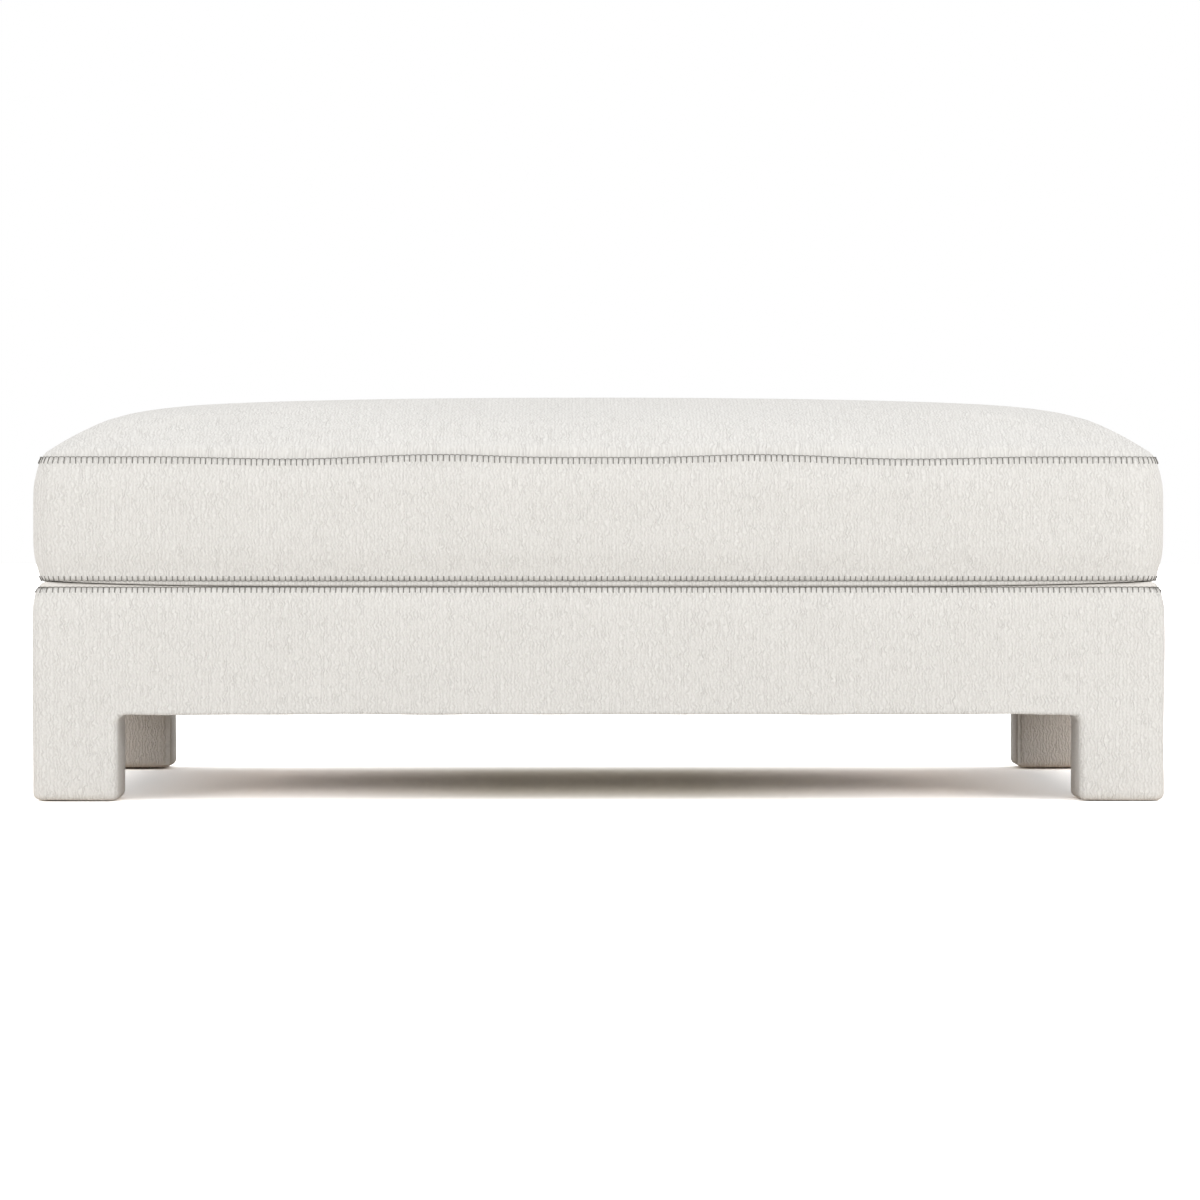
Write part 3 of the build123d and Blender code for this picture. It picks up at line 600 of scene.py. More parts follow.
def outline_place(x, y, half, radius, side):
    """Distance along the outline from the front middle, for the right (+1) or left (-1) way round."""
    run_x = half[0] - radius
    run_y = half[1] - radius
    arc = pi * radius / 2
    x = x * side
    turn_front = np.arctan2(np.maximum(x - run_x, 0), np.maximum(-y - run_y, tiny))
    turn_rear = np.arctan2(np.maximum(y - run_y, 0), np.maximum(x - run_x, tiny))
    front = np.where(x <= run_x, x, run_x + radius * turn_front)
    flank = run_x + arc + y + run_y
    rear = run_x + arc + 2 * run_y + radius * turn_rear + np.maximum(run_x - x, 0)
    place = np.where(y < -run_y, front, np.where(y > run_y, rear, flank))
    return place * side


# Base fabric: a slab on four legs, rounded by a distance function

def rounded_and(a, b, radius):
    outer = np.hypot(np.maximum(a + radius, 0), np.maximum(b + radius, 0)) - radius
    return outer + np.minimum(np.maximum(a, b) + radius, 0)


def rounded_or(a, b, radius):
    return -rounded_and(-a, -b, radius)


def face_draw(z):
    """How far the outer faces lie inside the plain box at a level: less than nothing where they puff."""
    depth = deck_level - z
    slope = np.clip(1 - depth / shoulder_height, 0, 1) ** shoulder_power
    lip = np.clip(1 - depth / shoulder_lip, 0, 1) ** 2
    puff = leg_puff + apron_puff * np.exp(-((z - puff_level) / puff_reach) ** 2)
    return shoulder_inset * (shoulder_share * slope + (1 - shoulder_share) * lip) - puff


def foot_bottom(y):
    """The fabric ends a little higher on the rear legs than on the front ones."""
    return np.where(y > 0, rear_foot_level, foot_level)


def base_distance(p):
    """Signed distance, more or less, from the outside of the base fabric."""
    x, y, z = abs(p[:, 0]), abs(p[:, 1]), p[:, 2]
    draw = face_draw(z)
    dx = x - base_half[0] + draw
    dy = y - base_half[1] + draw
    plan = rounded_and(dx, dy, base_corner_radius)
    leg = rounded_and(base_half[0] - leg_size - x, base_half[1] - leg_size - y, leg_edge_radius)
    hem = 1 - smoothstep((np.minimum(-dx, -dy) - hem_width) / hem_fade)
    phase = p[:, 0] * hem_wave[0] + p[:, 1] * hem_wave[1] + hem_wave_start
    wander = hem_evenness + (1 - hem_evenness) * np.sin(phase)
    apron_low = apron_clearance - hem_drop * hem * wander
    body = rounded_or(leg, apron_low - z, arch_radius)
    in_leg = smoothstep((apron_clearance - z) / leg_blend)
    edge_radius = apron_edge_radius + (leg_edge_radius - apron_edge_radius) * in_leg
    body = rounded_and(plan, body, edge_radius)
    return rounded_and(body, foot_bottom(p[:, 1]) - z, foot_radius)


top_inset = float(face_draw(deck_level))
deck_half = base_half - top_inset


def pull_to_surface(p, level, steps=8):
    """Moves points down the slope of base_distance onto the fabric; level ones keep their height."""
    shift = 1e-5
    for _ in range(steps):
        value = base_distance(p)
        slope = np.stack(
            [(base_distance(p + shift * axis) - base_distance(p - shift * axis)) / (2 * shift)
             for axis in np.eye(3)],
            -1,
        )
        slope[level, 2] = 0
        size = np.maximum((slope ** 2).sum(1), tolerance)
        p = p - (value / size)[:, None] * slope
    return p, slope / np.sqrt(size)[:, None]


def lattice_faces(solid, index):
    """Faces between full and empty cells, each with its axis and the side that it looks to."""
    quads, facings = [], []
    for axis in range(3):
        step = np.diff(solid.astype(int), axis=axis)
        step = step[tuple(slice(None) if i == axis else slice(1, -1) for i in range(3))]
        others = [n for n in range(3) if n != axis]
        for sign in (1, -1):
            corner = np.nonzero(step == -sign)
            rounds = [(0, 0), (1, 0), (1, 1), (0, 1)]
            if (sign > 0) == (axis == 1):
                rounds = rounds[::-1]
            loop = []
            for a, b in rounds:
                place = list(corner)
                place[others[0]] = place[others[0]] + a
                place[others[1]] = place[others[1]] + b
                loop.append(index[tuple(place)])
            quads.append(np.stack(loop, -1))
            facings.append(np.tile([axis, sign], (len(corner[0]), 1)))
    return np.concatenate(quads), np.concatenate(facings)


def make_base_fabric():
    edge_steps = (0.0012, 0.0025, 0.004, 0.006, 0.0085, 0.0115, 0.0155, 0.0205)
    half_x, half_y = base_half
    xs, ys, zs = [
        lattice_lines(places, base_spacing, edge_steps)
        for places in (
            [-half_x, leg_size - half_x, half_x - leg_size, half_x],
            [-half_y, leg_size - half_y, half_y - leg_size, half_y],
            [leg_foot, apron_clearance, deck_level],
        )
    ]
    cx, cy, cz = np.meshgrid(
        *[(lines[1:] + lines[:-1]) / 2 for lines in (xs, ys, zs)], indexing="ij"
    )
    in_leg = (abs(cx) > half_x - leg_size) & (abs(cy) > half_y - leg_size)
    solid = np.pad((cz > apron_clearance) | in_leg, 1)
    index = np.arange(len(xs) * len(ys) * len(zs)).reshape(len(xs), len(ys), len(zs))
    quads, facings = lattice_faces(solid, index)
    grid = np.stack(np.meshgrid(xs, ys, zs, indexing="ij"), -1).reshape(-1, 3)
    middle = grid[quads].mean(1)

    # The top stays open for the deck, and underneath only the stapled lip is kept
    top = (facings[:, 0] == 2) & (facings[:, 1] > 0)
    under = (facings[:, 0] == 2) & (middle[:, 2] > leg_foot + arch_radius)
    near_edge = np.minimum(half_x - abs(middle[:, 0]), half_y - abs(middle[:, 1])) < lip_reach
    near_leg = (
        (abs(middle[:, 0]) > half_x - leg_size - lip_reach)
        & (abs(middle[:, 1]) > half_y - leg_size - lip_reach)
    )
    keep = ~top & (~under | near_edge | near_leg)
    quads, facings, middle = quads[keep], facings[keep], middle[keep]
    points, quads = used_only(grid, quads)
    points, normals = pull_to_surface(points, points[:, 2] > deck_level - tolerance)

    # The soft foot of each leg swells down round its glide
    from_glide = np.hypot(abs(points[:, 0]) - glide_spot.x, abs(points[:, 1]) + glide_spot.y)
    dished = smoothstep(1 - (from_glide - glide_reach - dish_gap) / dish_width)
    sole = points[:, 2] < leg_foot + sole_height
    points[:, 2] += (leg_foot - foot_bottom(points[:, 1])) * dished * sole

    # Padded panels are never quite flat: broad soft swells that die out at the top edge
    swell = sum(np.sin(points @ wave[:3] + wave[3]) for wave in swell_waves)
    room = np.minimum(deck_level - points[:, 2], swell_fade) / swell_fade
    points = points + normals * (swell_height * swell * room)[:, None]

    # Weave coordinates: round the outline on the outside, straight across on the inner faces
    corners = points[quads]
    side = np.where(middle[:, 0] >= 0, 1, -1)[:, None]
    outline = outline_place(corners[..., 0], corners[..., 1], base_half, base_corner_radius, side)
    outside = (
        ((facings[:, 0] == 0) & (abs(middle[:, 0]) > half_x - face_margin))
        | ((facings[:, 0] == 1) & (abs(middle[:, 1]) > half_y - face_margin))
    )
    across = np.where(facings[:, :1] == 0, corners[..., 1], corners[..., 0])
    u = np.where(outside[:, None], outline, across)
    v = np.where(facings[:, :1] == 2, corners[..., 1], corners[..., 2])
    piece = new_piece("base_fabric", points, quads, np.stack([u, v], -1), cover_fabric)
    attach(piece, "base")
    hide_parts("base_cover")


def corner_curl(far_edge):
    """Share of the seam's height by which the cushion's underside curls up near a corner."""
    return corner_lift * np.exp(-(far_edge / corner_lift_reach) ** corner_lift_power)


def make_deck_cloth():
    edge_steps = (0.0007, 0.0016, 0.0028, 0.0045, 0.0065, 0.009, 0.013, 0.018, 0.025)
    half = deck_half
    radius = base_corner_radius - top_inset
    xs = graded_lines(half[0], deck_spacing, edge_steps)
    ys = graded_lines(half[1], deck_spacing, edge_steps)
    sharp_x, sharp_y = np.meshgrid(xs, ys)
    x, y = round_corner(sharp_x, sharp_y, half, radius)
    edge = np.minimum(half[0] - abs(sharp_x), half[1] - abs(sharp_y))
    far_edge = np.maximum(half[0] - abs(sharp_x), half[1] - abs(sharp_y))
    rim = np.sqrt(1 - (1 - np.minimum(edge / deck_rim, 1)) ** 2)
    swell = deck_follow * (seam_low - deck_level) * corner_curl(far_edge) * rim
    uneven = 1 + dip_variation * np.sin(x * dip_waves[0]) * np.sin(y * dip_waves[1] + 1)
    dip = deck_dip * smoothstep((edge - dip_start) / dip_reach) * uneven
    z = deck_level + swell - dip
    quads = grid_quads(len(ys), len(xs))
    points = np.stack([x, y, z], -1).reshape(-1, 3)
    piece = new_piece("deck_cloth", points, quads, flat_uv(points, quads), lining_cloth)
    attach(piece, "base")
    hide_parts("deck_cover")


# Cushion: one closed skin of a crowned top, a bulging boxing and a shallow bottom

def bulge(share):
    return boxing_bulge * (1 - abs(2 * share - 1) ** bulge_power)


def seam_band(distance):
    """The folded seam allowance makes a band that stands a little proud beside the seam."""
    return ridge_rise * (1 - smoothstep((distance - ridge_width) / (ridge_width / 2)))


def seam_height(x, y):
    """Level of the top seam; on the round corners it is even."""
    straight = seam_half - seam_corner_radius
    on_side = abs(y) < straight[1]
    return seam_high + np.where(
        on_side & (abs(x) > straight[0]),
        side_wave(y, straight[1]),
        side_wave(x, straight[0]),
    )


def make_cushion_skin():
    edge_steps = (0.0012, 0.0028, 0.0045, 0.0062, 0.0085, 0.0115, 0.0155, 0.0205, 0.027, 0.0355)
    trough_ends = (-trough_half_length, trough_half_length)
    xs = graded_lines(seam_half[0], cushion_spacing, edge_steps, keep=trough_ends)
    ys = graded_lines(seam_half[1], cushion_spacing, edge_steps)
    columns, rows = len(xs), len(ys)
    sharp_x, sharp_y = np.meshgrid(xs, ys)
    x, y = round_corner(sharp_x, sharp_y, seam_half, seam_corner_radius)
    edge_x = seam_half[0] - abs(sharp_x)
    edge_y = seam_half[1] - abs(sharp_y)
    edge = np.minimum(edge_x, edge_y)
    straight = seam_half - seam_corner_radius

    side_form = 1 - np.exp(-(edge_x / crown_side_reach) ** crown_side_power)
    front_form = 1 - np.exp(-(edge_y / crown_front_reach) ** crown_front_power)
    ends_form = 1 - crown_end_drop * (sharp_x / seam_half[0]) ** 2
    wave = side_wave(sharp_x, straight[0]) * np.exp(-edge_y / crown_wave_reach)
    wave = wave + side_wave(sharp_y, straight[1]) * np.exp(-edge_x / crown_wave_reach)
    form = (side_form * front_form) ** (1 - corner_fullness)
    form = form * np.minimum(side_form, front_form) ** corner_fullness
    rise = crown_rise * form * ends_form + wave
    ridge = seam_band(edge)
    top = np.stack([x, y, seam_high + rise + ridge * smoothstep(edge / ridge_start)], -1)

    inward = 1 - np.minimum(edge / bottom_rim, 1)
    rim = (1 - inward ** bottom_rim_power) ** (1 / bottom_rim_power)
    lift = corner_curl(np.maximum(edge_x, edge_y))
    reach_x = x - np.clip(x, -straight[0], straight[0])
    reach_y = y - np.clip(y, -straight[1], straight[1])
    push = strip_bulge * np.exp(-((edge - strip_place) / strip_width) ** 2) * (edge > 0) * (1 - lift)
    push = push / np.maximum(np.hypot(reach_x, reach_y), tolerance)
    bottom = np.stack(
        [x + reach_x * push, y + reach_y * push,
         seam_low - (seam_low - cushion_underside) * rim * (1 - lift)],
        -1,
    )

    # Boundary of the grid, round which the boxing runs
    index = np.arange(rows * columns).reshape(rows, columns)
    ring = np.concatenate([index[0, :-1], index[:-1, -1], index[-1, :0:-1], index[:0:-1, 0]])
    seam = top.reshape(-1, 3)[ring]
    offset = seam[:, :2] - np.sign(seam[:, :2]) * np.minimum(abs(seam[:, :2]), straight)
    normal = offset / np.linalg.norm(offset, axis=1)[:, None]
    levels = (0.0014, 0.0032, 0.0055, 0.0080, 0.0105, 0.0150, 0.0220, 0.0310, 0.0420, 0.0530)
    below_trough = trough_bottom - seam_low
    heights = [*levels, below_trough, boxing_height / 2, boxing_height - below_trough]
    heights += [boxing_height - level for level in reversed(levels)]
    boxing = []
    for height in heights:
        share = height / boxing_height
        out = bulge(share) + seam_band(min(height, boxing_height - height))
        level = seam_low + height + (seam[:, 2] - seam_high) * share ** 2
        boxing.append(np.column_stack([seam[:, :2] + normal * out, level]))

    points = np.concatenate([top.reshape(-1, 3), bottom.reshape(-1, 3), *boxing])
    size = rows * columns
    top_quads = grid_quads(rows, columns)
    bottom_quads = grid_quads(rows, columns, size)[:, ::-1]
    loops = [ring + size]
    loops += [2 * size + len(ring) * i + np.arange(len(ring)) for i in range(len(heights))]
    loops.append(ring)
    boxing_quads = np.concatenate(
        [np.stack([low, np.roll(low, -1), np.roll(high, -1), high], -1)
         for low, high in zip(loops, loops[1:])]
    )
    return points, top_quads, bottom_quads, boxing_quads, ring, normal, size


def settle_cushion(points, quads, held):
    """Cloth simulation of the stuffed skin: pressure from inside, held at the seams and underneath."""
    skin = new_piece("cushion_skin", points, quads)
    group = skin.vertex_groups.new(name="held")
    group.add([int(i) for i in held], 1.0, "REPLACE")
    cloth = skin.modifiers.new("cloth", "CLOTH")
    cloth.settings.quality = 5
    cloth.settings.mass = 0.3
    cloth.settings.tension_stiffness = 20
    cloth.settings.compression_stiffness = 8
    cloth.settings.shear_stiffness = 6
    cloth.settings.bending_stiffness = 0.6
    cloth.settings.vertex_group_mass = "held"
    cloth.settings.use_pressure = True
    cloth.settings.uniform_pressure_force = 4
    cloth.settings.shrink_min = -0.012
    cloth.settings.effector_weights.gravity = 0
    cloth.collision_settings.use_collision = False
    cloth.point_cache.frame_start = 1
    cloth.point_cache.frame_end = sim_frames
    for step in range(1, sim_frames + 1):
        bpy.context.scene.frame_set(step)
    depsgraph = bpy.context.evaluated_depsgraph_get()
    settled = skin.evaluated_get(depsgraph).to_mesh()
    moved = np.empty(len(points) * 3)
    settled.vertices.foreach_get("co", moved)
    moved = moved.reshape(-1, 3)
    skin.evaluated_get(depsgraph).to_mesh_clear()
    bpy.context.scene.frame_set(1)
    bpy.data.objects.remove(skin)
    return moved - points


def outline_uv(points, quads):
    """Weave coordinates for the boxing: round the outline, and the height."""
    corners = points[quads]
    side = np.where(corners[..., 0].mean(1) >= 0, 1, -1)[:, None]
    u = outline_place(corners[..., 0], corners[..., 1], seam_half, seam_corner_radius, side)
    return np.stack([u, corners[..., 2]], -1)


def fold_in(points, quads, depth):
    """Adds a strip of faces along the trough, turned in towards the zipper tape."""
    edges = np.concatenate([quads[:, [i, (i + 1) % 4]] for i in range(4)])
    ordered = np.sort(edges, 1)
    _, first, counts = np.unique(ordered, axis=0, return_index=True, return_counts=True)
    open_edges = edges[first[counts == 1]]
    middle = points[open_edges].mean(1)
    in_trough = (
        (middle[:, 2] > trough_bottom - trough_margin)
        & (middle[:, 2] < trough_top + trough_margin)
        & (abs(middle[:, 0]) < trough_half_length + trough_margin)
        & (middle[:, 1] > 0)
    )
    open_edges = open_edges[in_trough]
    rim = np.unique(open_edges)
    near, far = open_edges.T
    current = np.arange(len(points))
    strips = []
    for share in fold_shares:
        inner = points[rim].copy()
        inner[:, 1] += (seam_half[1] + boxing_bulge - depth - inner[:, 1]) * share
        following = current.copy()
        following[rim] = len(points) + np.arange(len(rim))
        points = np.concatenate([points, inner])
        strips.append(np.stack([current[far], current[near], following[near], following[far]], -1))
        current = following
    return points, np.concatenate([quads, *strips])


def cushion_piece(name, points, quads, weave, replaced):
    points, quads = used_only(points, quads)
    piece = new_piece(name, points, quads, weave(points, quads), cover_fabric)
    subdivide(piece)
    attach(piece, "cushion")
    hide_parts(*replaced)


def limit_movement(points, move, normal, size):
    """Keeps the crown at its height and the boxing smooth, so only soft unevenness stays."""
    reach = np.linalg.norm(move, axis=1)
    move = move * np.minimum(1, sim_cap / np.maximum(reach, tiny))[:, None]
    crown = points[:size]
    form = np.clip((crown[:, 2] - seam_high) / crown_rise, 0, 1)
    middle = form > crown_middle
    move[:size, 2] -= form * move[:size, 2][middle].mean()

    rows = move[2 * size:].reshape(-1, len(normal), 3)
    out = np.clip((rows[..., :2] * normal).sum(2), 0.0, boxing_swell)
    for _ in range(smooth_passes):
        out = (np.roll(out, 1, axis=1) + 2 * out + np.roll(out, -1, axis=1)) / 4
    rows[..., :2] = out[..., None] * normal
    rows[..., 2] = 0
    move[2 * size:] = rows.reshape(-1, 3)

    seam_near = np.minimum(abs(points[:, 2] - seam_high), abs(points[:, 2] - seam_low))
    plan_edge = np.minimum(seam_half[0] - abs(points[:, 0]), seam_half[1] - abs(points[:, 1]))
    from_seam = np.hypot(seam_near, np.maximum(plan_edge, 0))
    from_trough = abs(points[:, 0]) - trough_half_length
    beside_trough = smoothstep((from_trough - trough_hold) / trough_release)
    at_back = points[:, 1] > seam_half[1] - back_depth
    fade = smoothstep((from_seam - seam_hold) / seam_release) * np.where(at_back, beside_trough, 1.0)
    return move * fade[:, None]


def make_cushion():
    points, top_quads, bottom_quads, boxing_quads, ring, normal, size = make_cushion_skin()
    held = np.concatenate([ring, np.arange(size, 2 * size)])
    quads = np.concatenate([top_quads, bottom_quads, boxing_quads])
    move = settle_cushion(points, quads, held)
    points = points + limit_movement(points, move, normal, size)

    for side, quads in (("top", top_quads), ("bottom", bottom_quads)):
        replaced = (f"cushion_{side}_panel", f"fibre_wrap_{side}")
        cushion_piece(f"cushion_{side}", points, quads, flat_uv, replaced)
    middle = points[boxing_quads].mean(1)
    back = (middle[:, 1] > seam_half[1] - back_depth) & (abs(middle[:, 0]) < trough_half_length)
    gap = back & (middle[:, 2] > trough_bottom) & (middle[:, 2] < trough_top)
    depth = seam_half[1] + boxing_bulge - tape_face
    above = middle[:, 2] > zip_level
    for name, part, replaced in (
        ("cushion_boxing_front", ~back, "cushion_boxing"),
        ("cushion_boxing_back_upper", back & ~gap & above, "back_boxing_upper"),
        ("cushion_boxing_back_lower", back & ~gap & ~above, "back_boxing_lower"),
    ):
        folded, quads = fold_in(points, boxing_quads[part], depth)
        cushion_piece(name, folded, quads, outline_uv, (replaced,))


# Threads

def tubes(name, centres, first, second, radius, sides, closed, material):
    """Round strands: arrays (strand, point, 3) of centres and of two directions across each strand."""
    strands, count, _ = centres.shape
    angle = 2 * pi * np.arange(sides) / sides
    rim = (
        centres[:, :, None, :]
        + radius * np.cos(angle)[None, None, :, None] * first[:, :, None, :]
        + radius * np.sin(angle)[None, None, :, None] * second[:, :, None, :]
    )
    index = np.arange(strands * count * sides).reshape(strands, count, sides)
    steps = np.linalg.norm(np.diff(centres, axis=1), axis=2)
    length = np.concatenate([np.zeros((strands, 1)), np.cumsum(steps, 1)], 1)
    if closed:
        following = np.roll(index, -1, axis=1)
        closing = np.linalg.norm(centres[:, 0] - centres[:, -1], axis=1)
        after = np.concatenate([length[:, 1:], length[:, -1:] + closing[:, None]], 1)
    else:
        index, following = index[:, :-1], index[:, 1:]
        length, after = length[:, :-1], length[:, 1:]
    beside = np.roll(index, -1, axis=2)
    beside_following = np.roll(following, -1, axis=2)
    quads = np.stack([index, beside, beside_following, following], -1)
    turn = np.broadcast_to(np.arange(sides) / sides, quads.shape[:3])
    low = np.broadcast_to(length[:, :, None], quads.shape[:3])
    high = np.broadcast_to(after[:, :, None], quads.shape[:3])
    uv = np.stack(
        [np.stack([turn, low], -1), np.stack([turn + 1 / sides, low], -1),
         np.stack([turn + 1 / sides, high], -1), np.stack([turn, high], -1)],
        -2,
    )
    return new_piece(name, rim.reshape(-1, 3), quads.reshape(-1, 4), uv, material)


def blanket_stitch(name, half, radius, seam_level, tooth, direction, outward, body, replaced):
    """One running thread on the seam, and a tooth from it down or up the side at every stitch."""
    total = outline_length(half, radius)
    count = round(total / stitch_pitch)
    pitch = total / count
    up = np.array([0.0, 0.0, 1.0])

    def place(along, distance, proud):
        spot, normal = outline_point(along, half, radius)
        normal = np.column_stack([normal, np.zeros(len(normal))])
        level = seam_level(spot[:, 0], spot[:, 1]) + direction * distance
        out = outward(distance) + proud
        flat = np.column_stack([spot, np.zeros(len(spot))])
        return flat + normal * out[:, None] + up * level[:, None], normal

    per_stitch = 6
    steps = np.arange(count * per_stitch)
    lean = rng.uniform(-stitch_lean, stitch_lean, count)
    start = (np.arange(count) + 0.5 + lean) * pitch
    phase = steps % per_stitch / per_stitch
    along = np.interp(steps / per_stitch, np.arange(count + 1), np.append(start, start[0] + total))
    arch = np.sin(pi * phase)
    proud = ridge_rise + running_radius * (thread_seat + thread_lift * arch)
    rope, normal = place(along, -thread_arch * arch, proud)
    tangent = np.cross(up, normal)
    running = tubes(
        f"{name}_thread", rope[None], normal[None], np.cross(normal, tangent)[None],
        running_radius, thread_sides, True, stitch_thread,
    )

    shares = np.array([0.0, 0.08, 0.3, 0.6, 0.88, 1.0, 1.08])
    proud = np.array([0.5, 0.75, 0.6, 0.55, 0.5, 0.1, -1.6]) * thread_radius
    reach = tooth * rng.uniform(1 - tooth_spread, 1 + tooth_spread, count)
    skew = rng.normal(0, tooth_skew, count)
    teeth, across, beside = [], [], []
    for share, height in zip(shares, proud):
        spot, normal = place(start + skew * share, reach * share, np.full(count, height))
        teeth.append(spot)
        across.append(normal)
        beside.append(np.cross(up, normal))
    bites = tubes(
        f"{name}_teeth", np.stack(teeth, 1), np.stack(across, 1), np.stack(beside, 1),
        thread_radius, thread_sides, False, stitch_thread,
    )
    for piece in (running, bites):
        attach(piece, body)
        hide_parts(replaced)


def level_seam(level):
    """A seam that keeps one level all the way round."""
    def height(x, y):
        return np.full(len(x), level)

    return height


def make_stitches():
    def boxing_out(distance):
        share = np.clip(distance / boxing_height, 0, 1)
        return bulge(share) + seam_band(abs(distance))

    def base_out(distance):
        return top_inset - face_draw(deck_level - np.maximum(distance, 0))

    blanket_stitch(
        "top_seam", seam_half, seam_corner_radius, seam_height, top_tooth, -1, boxing_out,
        "cushion", "top_seam_stitch",
    )
    blanket_stitch(
        "bottom_seam", seam_half, seam_corner_radius, level_seam(seam_low), bottom_tooth, 1,
        boxing_out, "cushion", "bottom_seam_stitch",
    )
    blanket_stitch(
        "base_edge", deck_half, base_corner_radius - top_inset, level_seam(deck_level), base_tooth,
        -1, base_out, "base", "base_edge_stitch",
    )


# Zipper at the back

def make_coil(row):
    low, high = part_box(f"zipper_coil_{row}")
    turns = round((high.x - low.x) / coil_pitch)
    steps = np.arange(turns * coil_steps + 1)
    angle = 2 * pi * steps / coil_steps
    centre = (low + high) / 2
    spread = (high - low) / 2
    x = low.x + coil_wire + (steps / steps[-1]) * (high.x - low.x - 2 * coil_wire)
    y = centre.y + (spread.y - coil_wire) * np.sin(angle)
    z = centre.z + (spread.z - coil_wire) * np.cos(angle)
    path = np.stack([x, y, z], -1)[None]
    ahead = np.gradient(path, axis=1)
    ahead /= np.linalg.norm(ahead, axis=2, keepdims=True)
    outward = path - np.stack([x, np.full_like(x, centre.y), np.full_like(x, centre.z)], -1)[None]
    outward -= (outward * ahead).sum(2, keepdims=True) * ahead
    outward /= np.linalg.norm(outward, axis=2, keepdims=True)
    across = np.cross(ahead, outward)
    coil = tubes(f"zipper_teeth_{row}", path, outward, across, coil_wire, fine_sides, False, coil_nylon)
    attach(coil, "cushion")
    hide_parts(f"zipper_coil_{row}")


def make_tape(row):
    low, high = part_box(f"zipper_tape_{row}")
    xs = np.linspace(low.x, high.x, tape_columns)
    rim = tape_rim
    section = [(low.y + rim, low.z), (high.y - rim, low.z), (high.y, low.z + rim)]
    section += [(high.y, low.z + (high.z - low.z) * share) for share in (0.3, 0.5, 0.7)]
    section += [(high.y, high.z - rim), (high.y - rim, high.z), (low.y + rim, high.z)]
    section += [(low.y, high.z - rim), (low.y, (low.z + high.z) / 2), (low.y, low.z + rim)]
    points = np.array([(x, y, z) for x in xs for y, z in section])
    index = np.arange(len(points)).reshape(len(xs), len(section))
    beside = np.roll(index, -1, axis=1)
    quads = np.stack([index[:-1], index[1:], beside[1:], beside[:-1]], -1).reshape(-1, 4)
    faces = [*quads.tolist(), index[0].tolist(), index[-1][::-1].tolist()]
    uv = np.concatenate([points[face][:, [0, 2]] for face in faces])
    tape = new_piece(f"zipper_cloth_{row}", points, faces, uv, tape_cloth)
    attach(tape, "cushion")
    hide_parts(f"zipper_tape_{row}")


def make_topstitch():
    """Two fine rows of machine stitches along the trough, one on each boxing strip."""
    count = int(2 * trough_half_length / topstitch_pitch)
    starts = -trough_half_length + topstitch_pitch * (np.arange(count) + topstitch_start)
    shares = np.array([0.0, 0.12, 0.5, 0.88, 1.0])
    sink = np.array([-0.0004, 0.0001, 0.0002, 0.0001, -0.0004])
    for name, level in (("upper", trough_top + topstitch_gap), ("lower", trough_bottom - topstitch_gap)):
        x = starts[:, None] + shares[None] * topstitch_pitch * topstitch_length
        out = seam_half[1] + bulge((level - seam_low) / boxing_height) + sink
        y = np.broadcast_to(out, x.shape)
        z = np.full_like(x, level)
        path = np.stack([x, y, z], -1)
        outward = np.broadcast_to([0.0, 1.0, 0.0], path.shape)
        upward = np.broadcast_to([0.0, 0.0, 1.0], path.shape)
        row = tubes(
            f"zipper_topstitch_{name}", path, outward, upward, topstitch_radius, fine_sides,
            False, seam_thread,
        )
        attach(row, "cushion")


# Underside

def make_dust_sheet():
    low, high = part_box("dust_cover")
    notch = dust_notch
    steps = (0.004, 0.009, 0.016)
    xs = lattice_lines([low.x, low.x + notch, high.x - notch, high.x], dust_spacing, steps)
    ys = lattice_lines([low.y, low.y + notch, high.y - notch, high.y], dust_spacing, steps)
    x, y = np.meshgrid(xs, ys)
    edge = np.minimum(high.x - abs(x), high.y - abs(y))
    from_notch = np.hypot(
        np.maximum(high.x - notch - abs(x), 0), np.maximum(high.y - notch - abs(y), 0)
    )
    sag = dust_sag * smoothstep(np.minimum(edge, from_notch) / sag_reach)
    pucker = 0
    for along, from_edge in ((x, high.y - abs(y)), (y, high.x - abs(x))):
        wave = np.sin(along * 2 * pi / pucker_pitch)
        pucker = pucker + pucker_depth * wave * np.exp(-from_edge / pucker_reach)
    z = (low.z + high.z) / 2 - sag + pucker
    quads = grid_quads(len(ys), len(xs))[:, ::-1]
    points = np.stack([x, y, z], -1).reshape(-1, 3)
    middle = points[quads].mean(1)
    cut = (abs(middle[:, 0]) > high.x - notch) & (abs(middle[:, 1]) > high.y - notch)
    points, quads = used_only(points, quads[~cut])
    sheet = new_piece("dust_sheet", points, quads, flat_uv(points, quads), dust_cloth)
    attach(sheet, "base")
    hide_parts("dust_cover")


# Finishes of the CAD nodes that stay as they are

def finish_nodes():
    """A finish for each CAD node by its slot; whatever cloth and thread replace gets the wadding."""
    finishes = {
        "frame_wood": planed_wood,
        "fastener_steel": zinc_steel,
        "spring_steel": oiled_steel,
        "foam": open_foam,
        "insulator_felt": pressed_felt,
        "glide_plastic": glide_plastic,
        "zipper_metal": nickel,
        "zipper_coil": coil_nylon,
    }
    for part in frame["record"]["subparts"]:
        mesh = frame["nodes"][part["node"]].data
        mesh.materials.clear()
        mesh.materials.append(finishes.get(part["material_slot"], wadding))


# Studio: pale floor, soft light and the photograph's camera

def seen_directly(tree):
    """1 for rays from the camera, and in mirrors and glass, so that they meet the pale background."""
    path = node(tree, "ShaderNodeLightPath")
    direct = calc(tree, "MAXIMUM", path.outputs["Is Camera Ray"], path.outputs["Is Glossy Ray"])
    return calc(tree, "MAXIMUM", direct, path.outputs["Is Transmission Ray"])


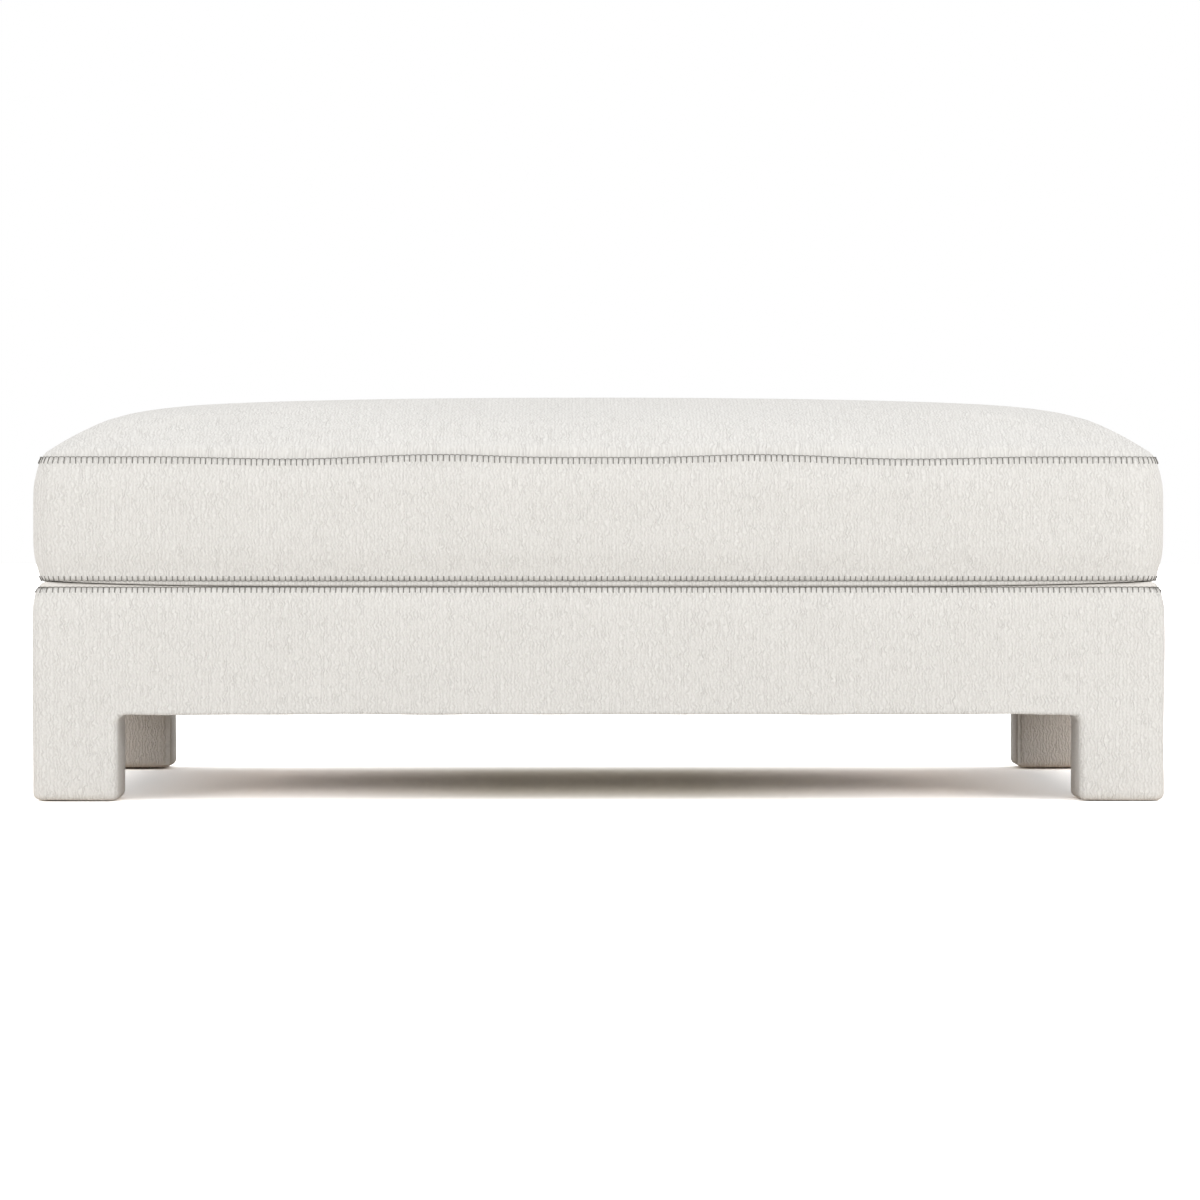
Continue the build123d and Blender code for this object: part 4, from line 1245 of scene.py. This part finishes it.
def lit_and_seen(tree, lit, seen, output):
    """One shader for the light that reaches the table, another where the surroundings are seen."""
    mix = node(tree, "ShaderNodeMixShader")
    tree.links.new(seen_directly(tree), mix.inputs["Fac"])
    tree.links.new(lit.outputs[0], mix.inputs[1])
    tree.links.new(seen.outputs[0], mix.inputs[2])
    tree.links.new(mix.outputs[0], tree.nodes[output].inputs["Surface"])


def away(tree, axis, low, high, near, far):
    """Goes from low to high between two distances from the middle of the table along an axis."""
    place = axes(tree, place_on(tree, "Object"))[axis]
    return ramp(tree, calc(tree, "ABSOLUTE", place), low, high, near, far)


def under_table(tree, reach):
    """1 on the floor under the middle of the table, falling to 0 further out."""
    near_x, far_x, near_y, far_y = reach
    share_x = away(tree, "X", 1, 0, near_x, far_x)
    share_y = away(tree, "Y", 1, 0, near_y, far_y)
    return calc(tree, "MULTIPLY", share_x, share_y)


def make_floor():
    material, tree, shader = new_material("studio_floor")
    # Painted warm bounce light: from under and beside the table the floor throws back warmer light onto
    # the legs and lower faces.
    bounce = tinted(tree, under_table(tree, painted_bounce_reach), bounce_open, bounce_painted_warmth)
    tree.links.new(bounce, shader.inputs["Base Color"])
    set_sockets(shader, {"Roughness": 0.9, "Specular IOR Level": 0.0})
    seen = node(tree, "ShaderNodeBsdfDiffuse")
    # Painted light: the seen floor is brighter and warmer under the table and towards its ends, which
    # lightens and warms its shadow there.
    shadow_painted_light = tinted(tree, away(tree, "X", 0, 1, *painted_ends_reach), floor_painted_core, floor_painted_ends)
    color = tinted(tree, under_table(tree, painted_core_reach), floor_open, shadow_painted_light)
    tree.links.new(color, seen.inputs["Color"])
    lit_and_seen(tree, shader, seen, "Material Output")
    corners = [(x * floor_size, y * floor_size, 0) for x, y in ((-1, -1), (1, -1), (1, 1), (-1, 1))]
    floor = new_piece("studio_floor", corners, [(0, 1, 2, 3)], material=material)


def make_world():
    world = bpy.data.worlds.new("studio")
    world.use_nodes = True
    bpy.context.scene.world = world
    tree = world.node_tree
    ambient = tree.nodes["Background"]
    height = ramp(tree, axes(tree, place_on(tree, "Generated"))["Z"], 0.0, 1.0, *ambient_band)
    tree.links.new(tinted(tree, height, ambient_low, ambient_high), ambient.inputs["Color"])
    ambient.inputs["Strength"].default_value = 1.0
    white = node(tree, "ShaderNodeBackground")
    set_sockets(white, {"Color": (1, 1, 1, 1), "Strength": 1.0})
    lit_and_seen(tree, ambient, white, "World Output")


def make_lamps():
    for name, place, aim, size, power in lamps:
        data = bpy.data.lights.new(name, "AREA")
        data.shape = "RECTANGLE"
        data.size, data.size_y = size
        data.energy = power
        lamp = add_to_scene(name, data)
        lamp.location = place
        direction = Vector(aim) - Vector(place)
        lamp.rotation_euler = direction.to_track_quat("-Z", "Y").to_euler()


def make_camera():
    data = bpy.data.cameras.new("photo_camera")
    data.lens = camera_lens
    data.sensor_width = camera_sensor
    data.clip_end = camera_far
    camera = add_to_scene("photo_camera", data)
    camera.location = camera_place
    camera.rotation_euler = (radians(90 - camera_pitch), 0, radians(-camera_yaw))
    bpy.context.scene.camera = camera
    bpy.context.scene.view_settings.view_transform = "Standard"


make_base_fabric()
make_deck_cloth()
make_cushion()
make_stitches()
for zipper_row in ("upper", "lower"):
    make_coil(zipper_row)
    make_tape(zipper_row)
make_topstitch()
make_dust_sheet()
finish_nodes()
make_floor()
make_world()
make_lamps()
make_camera()
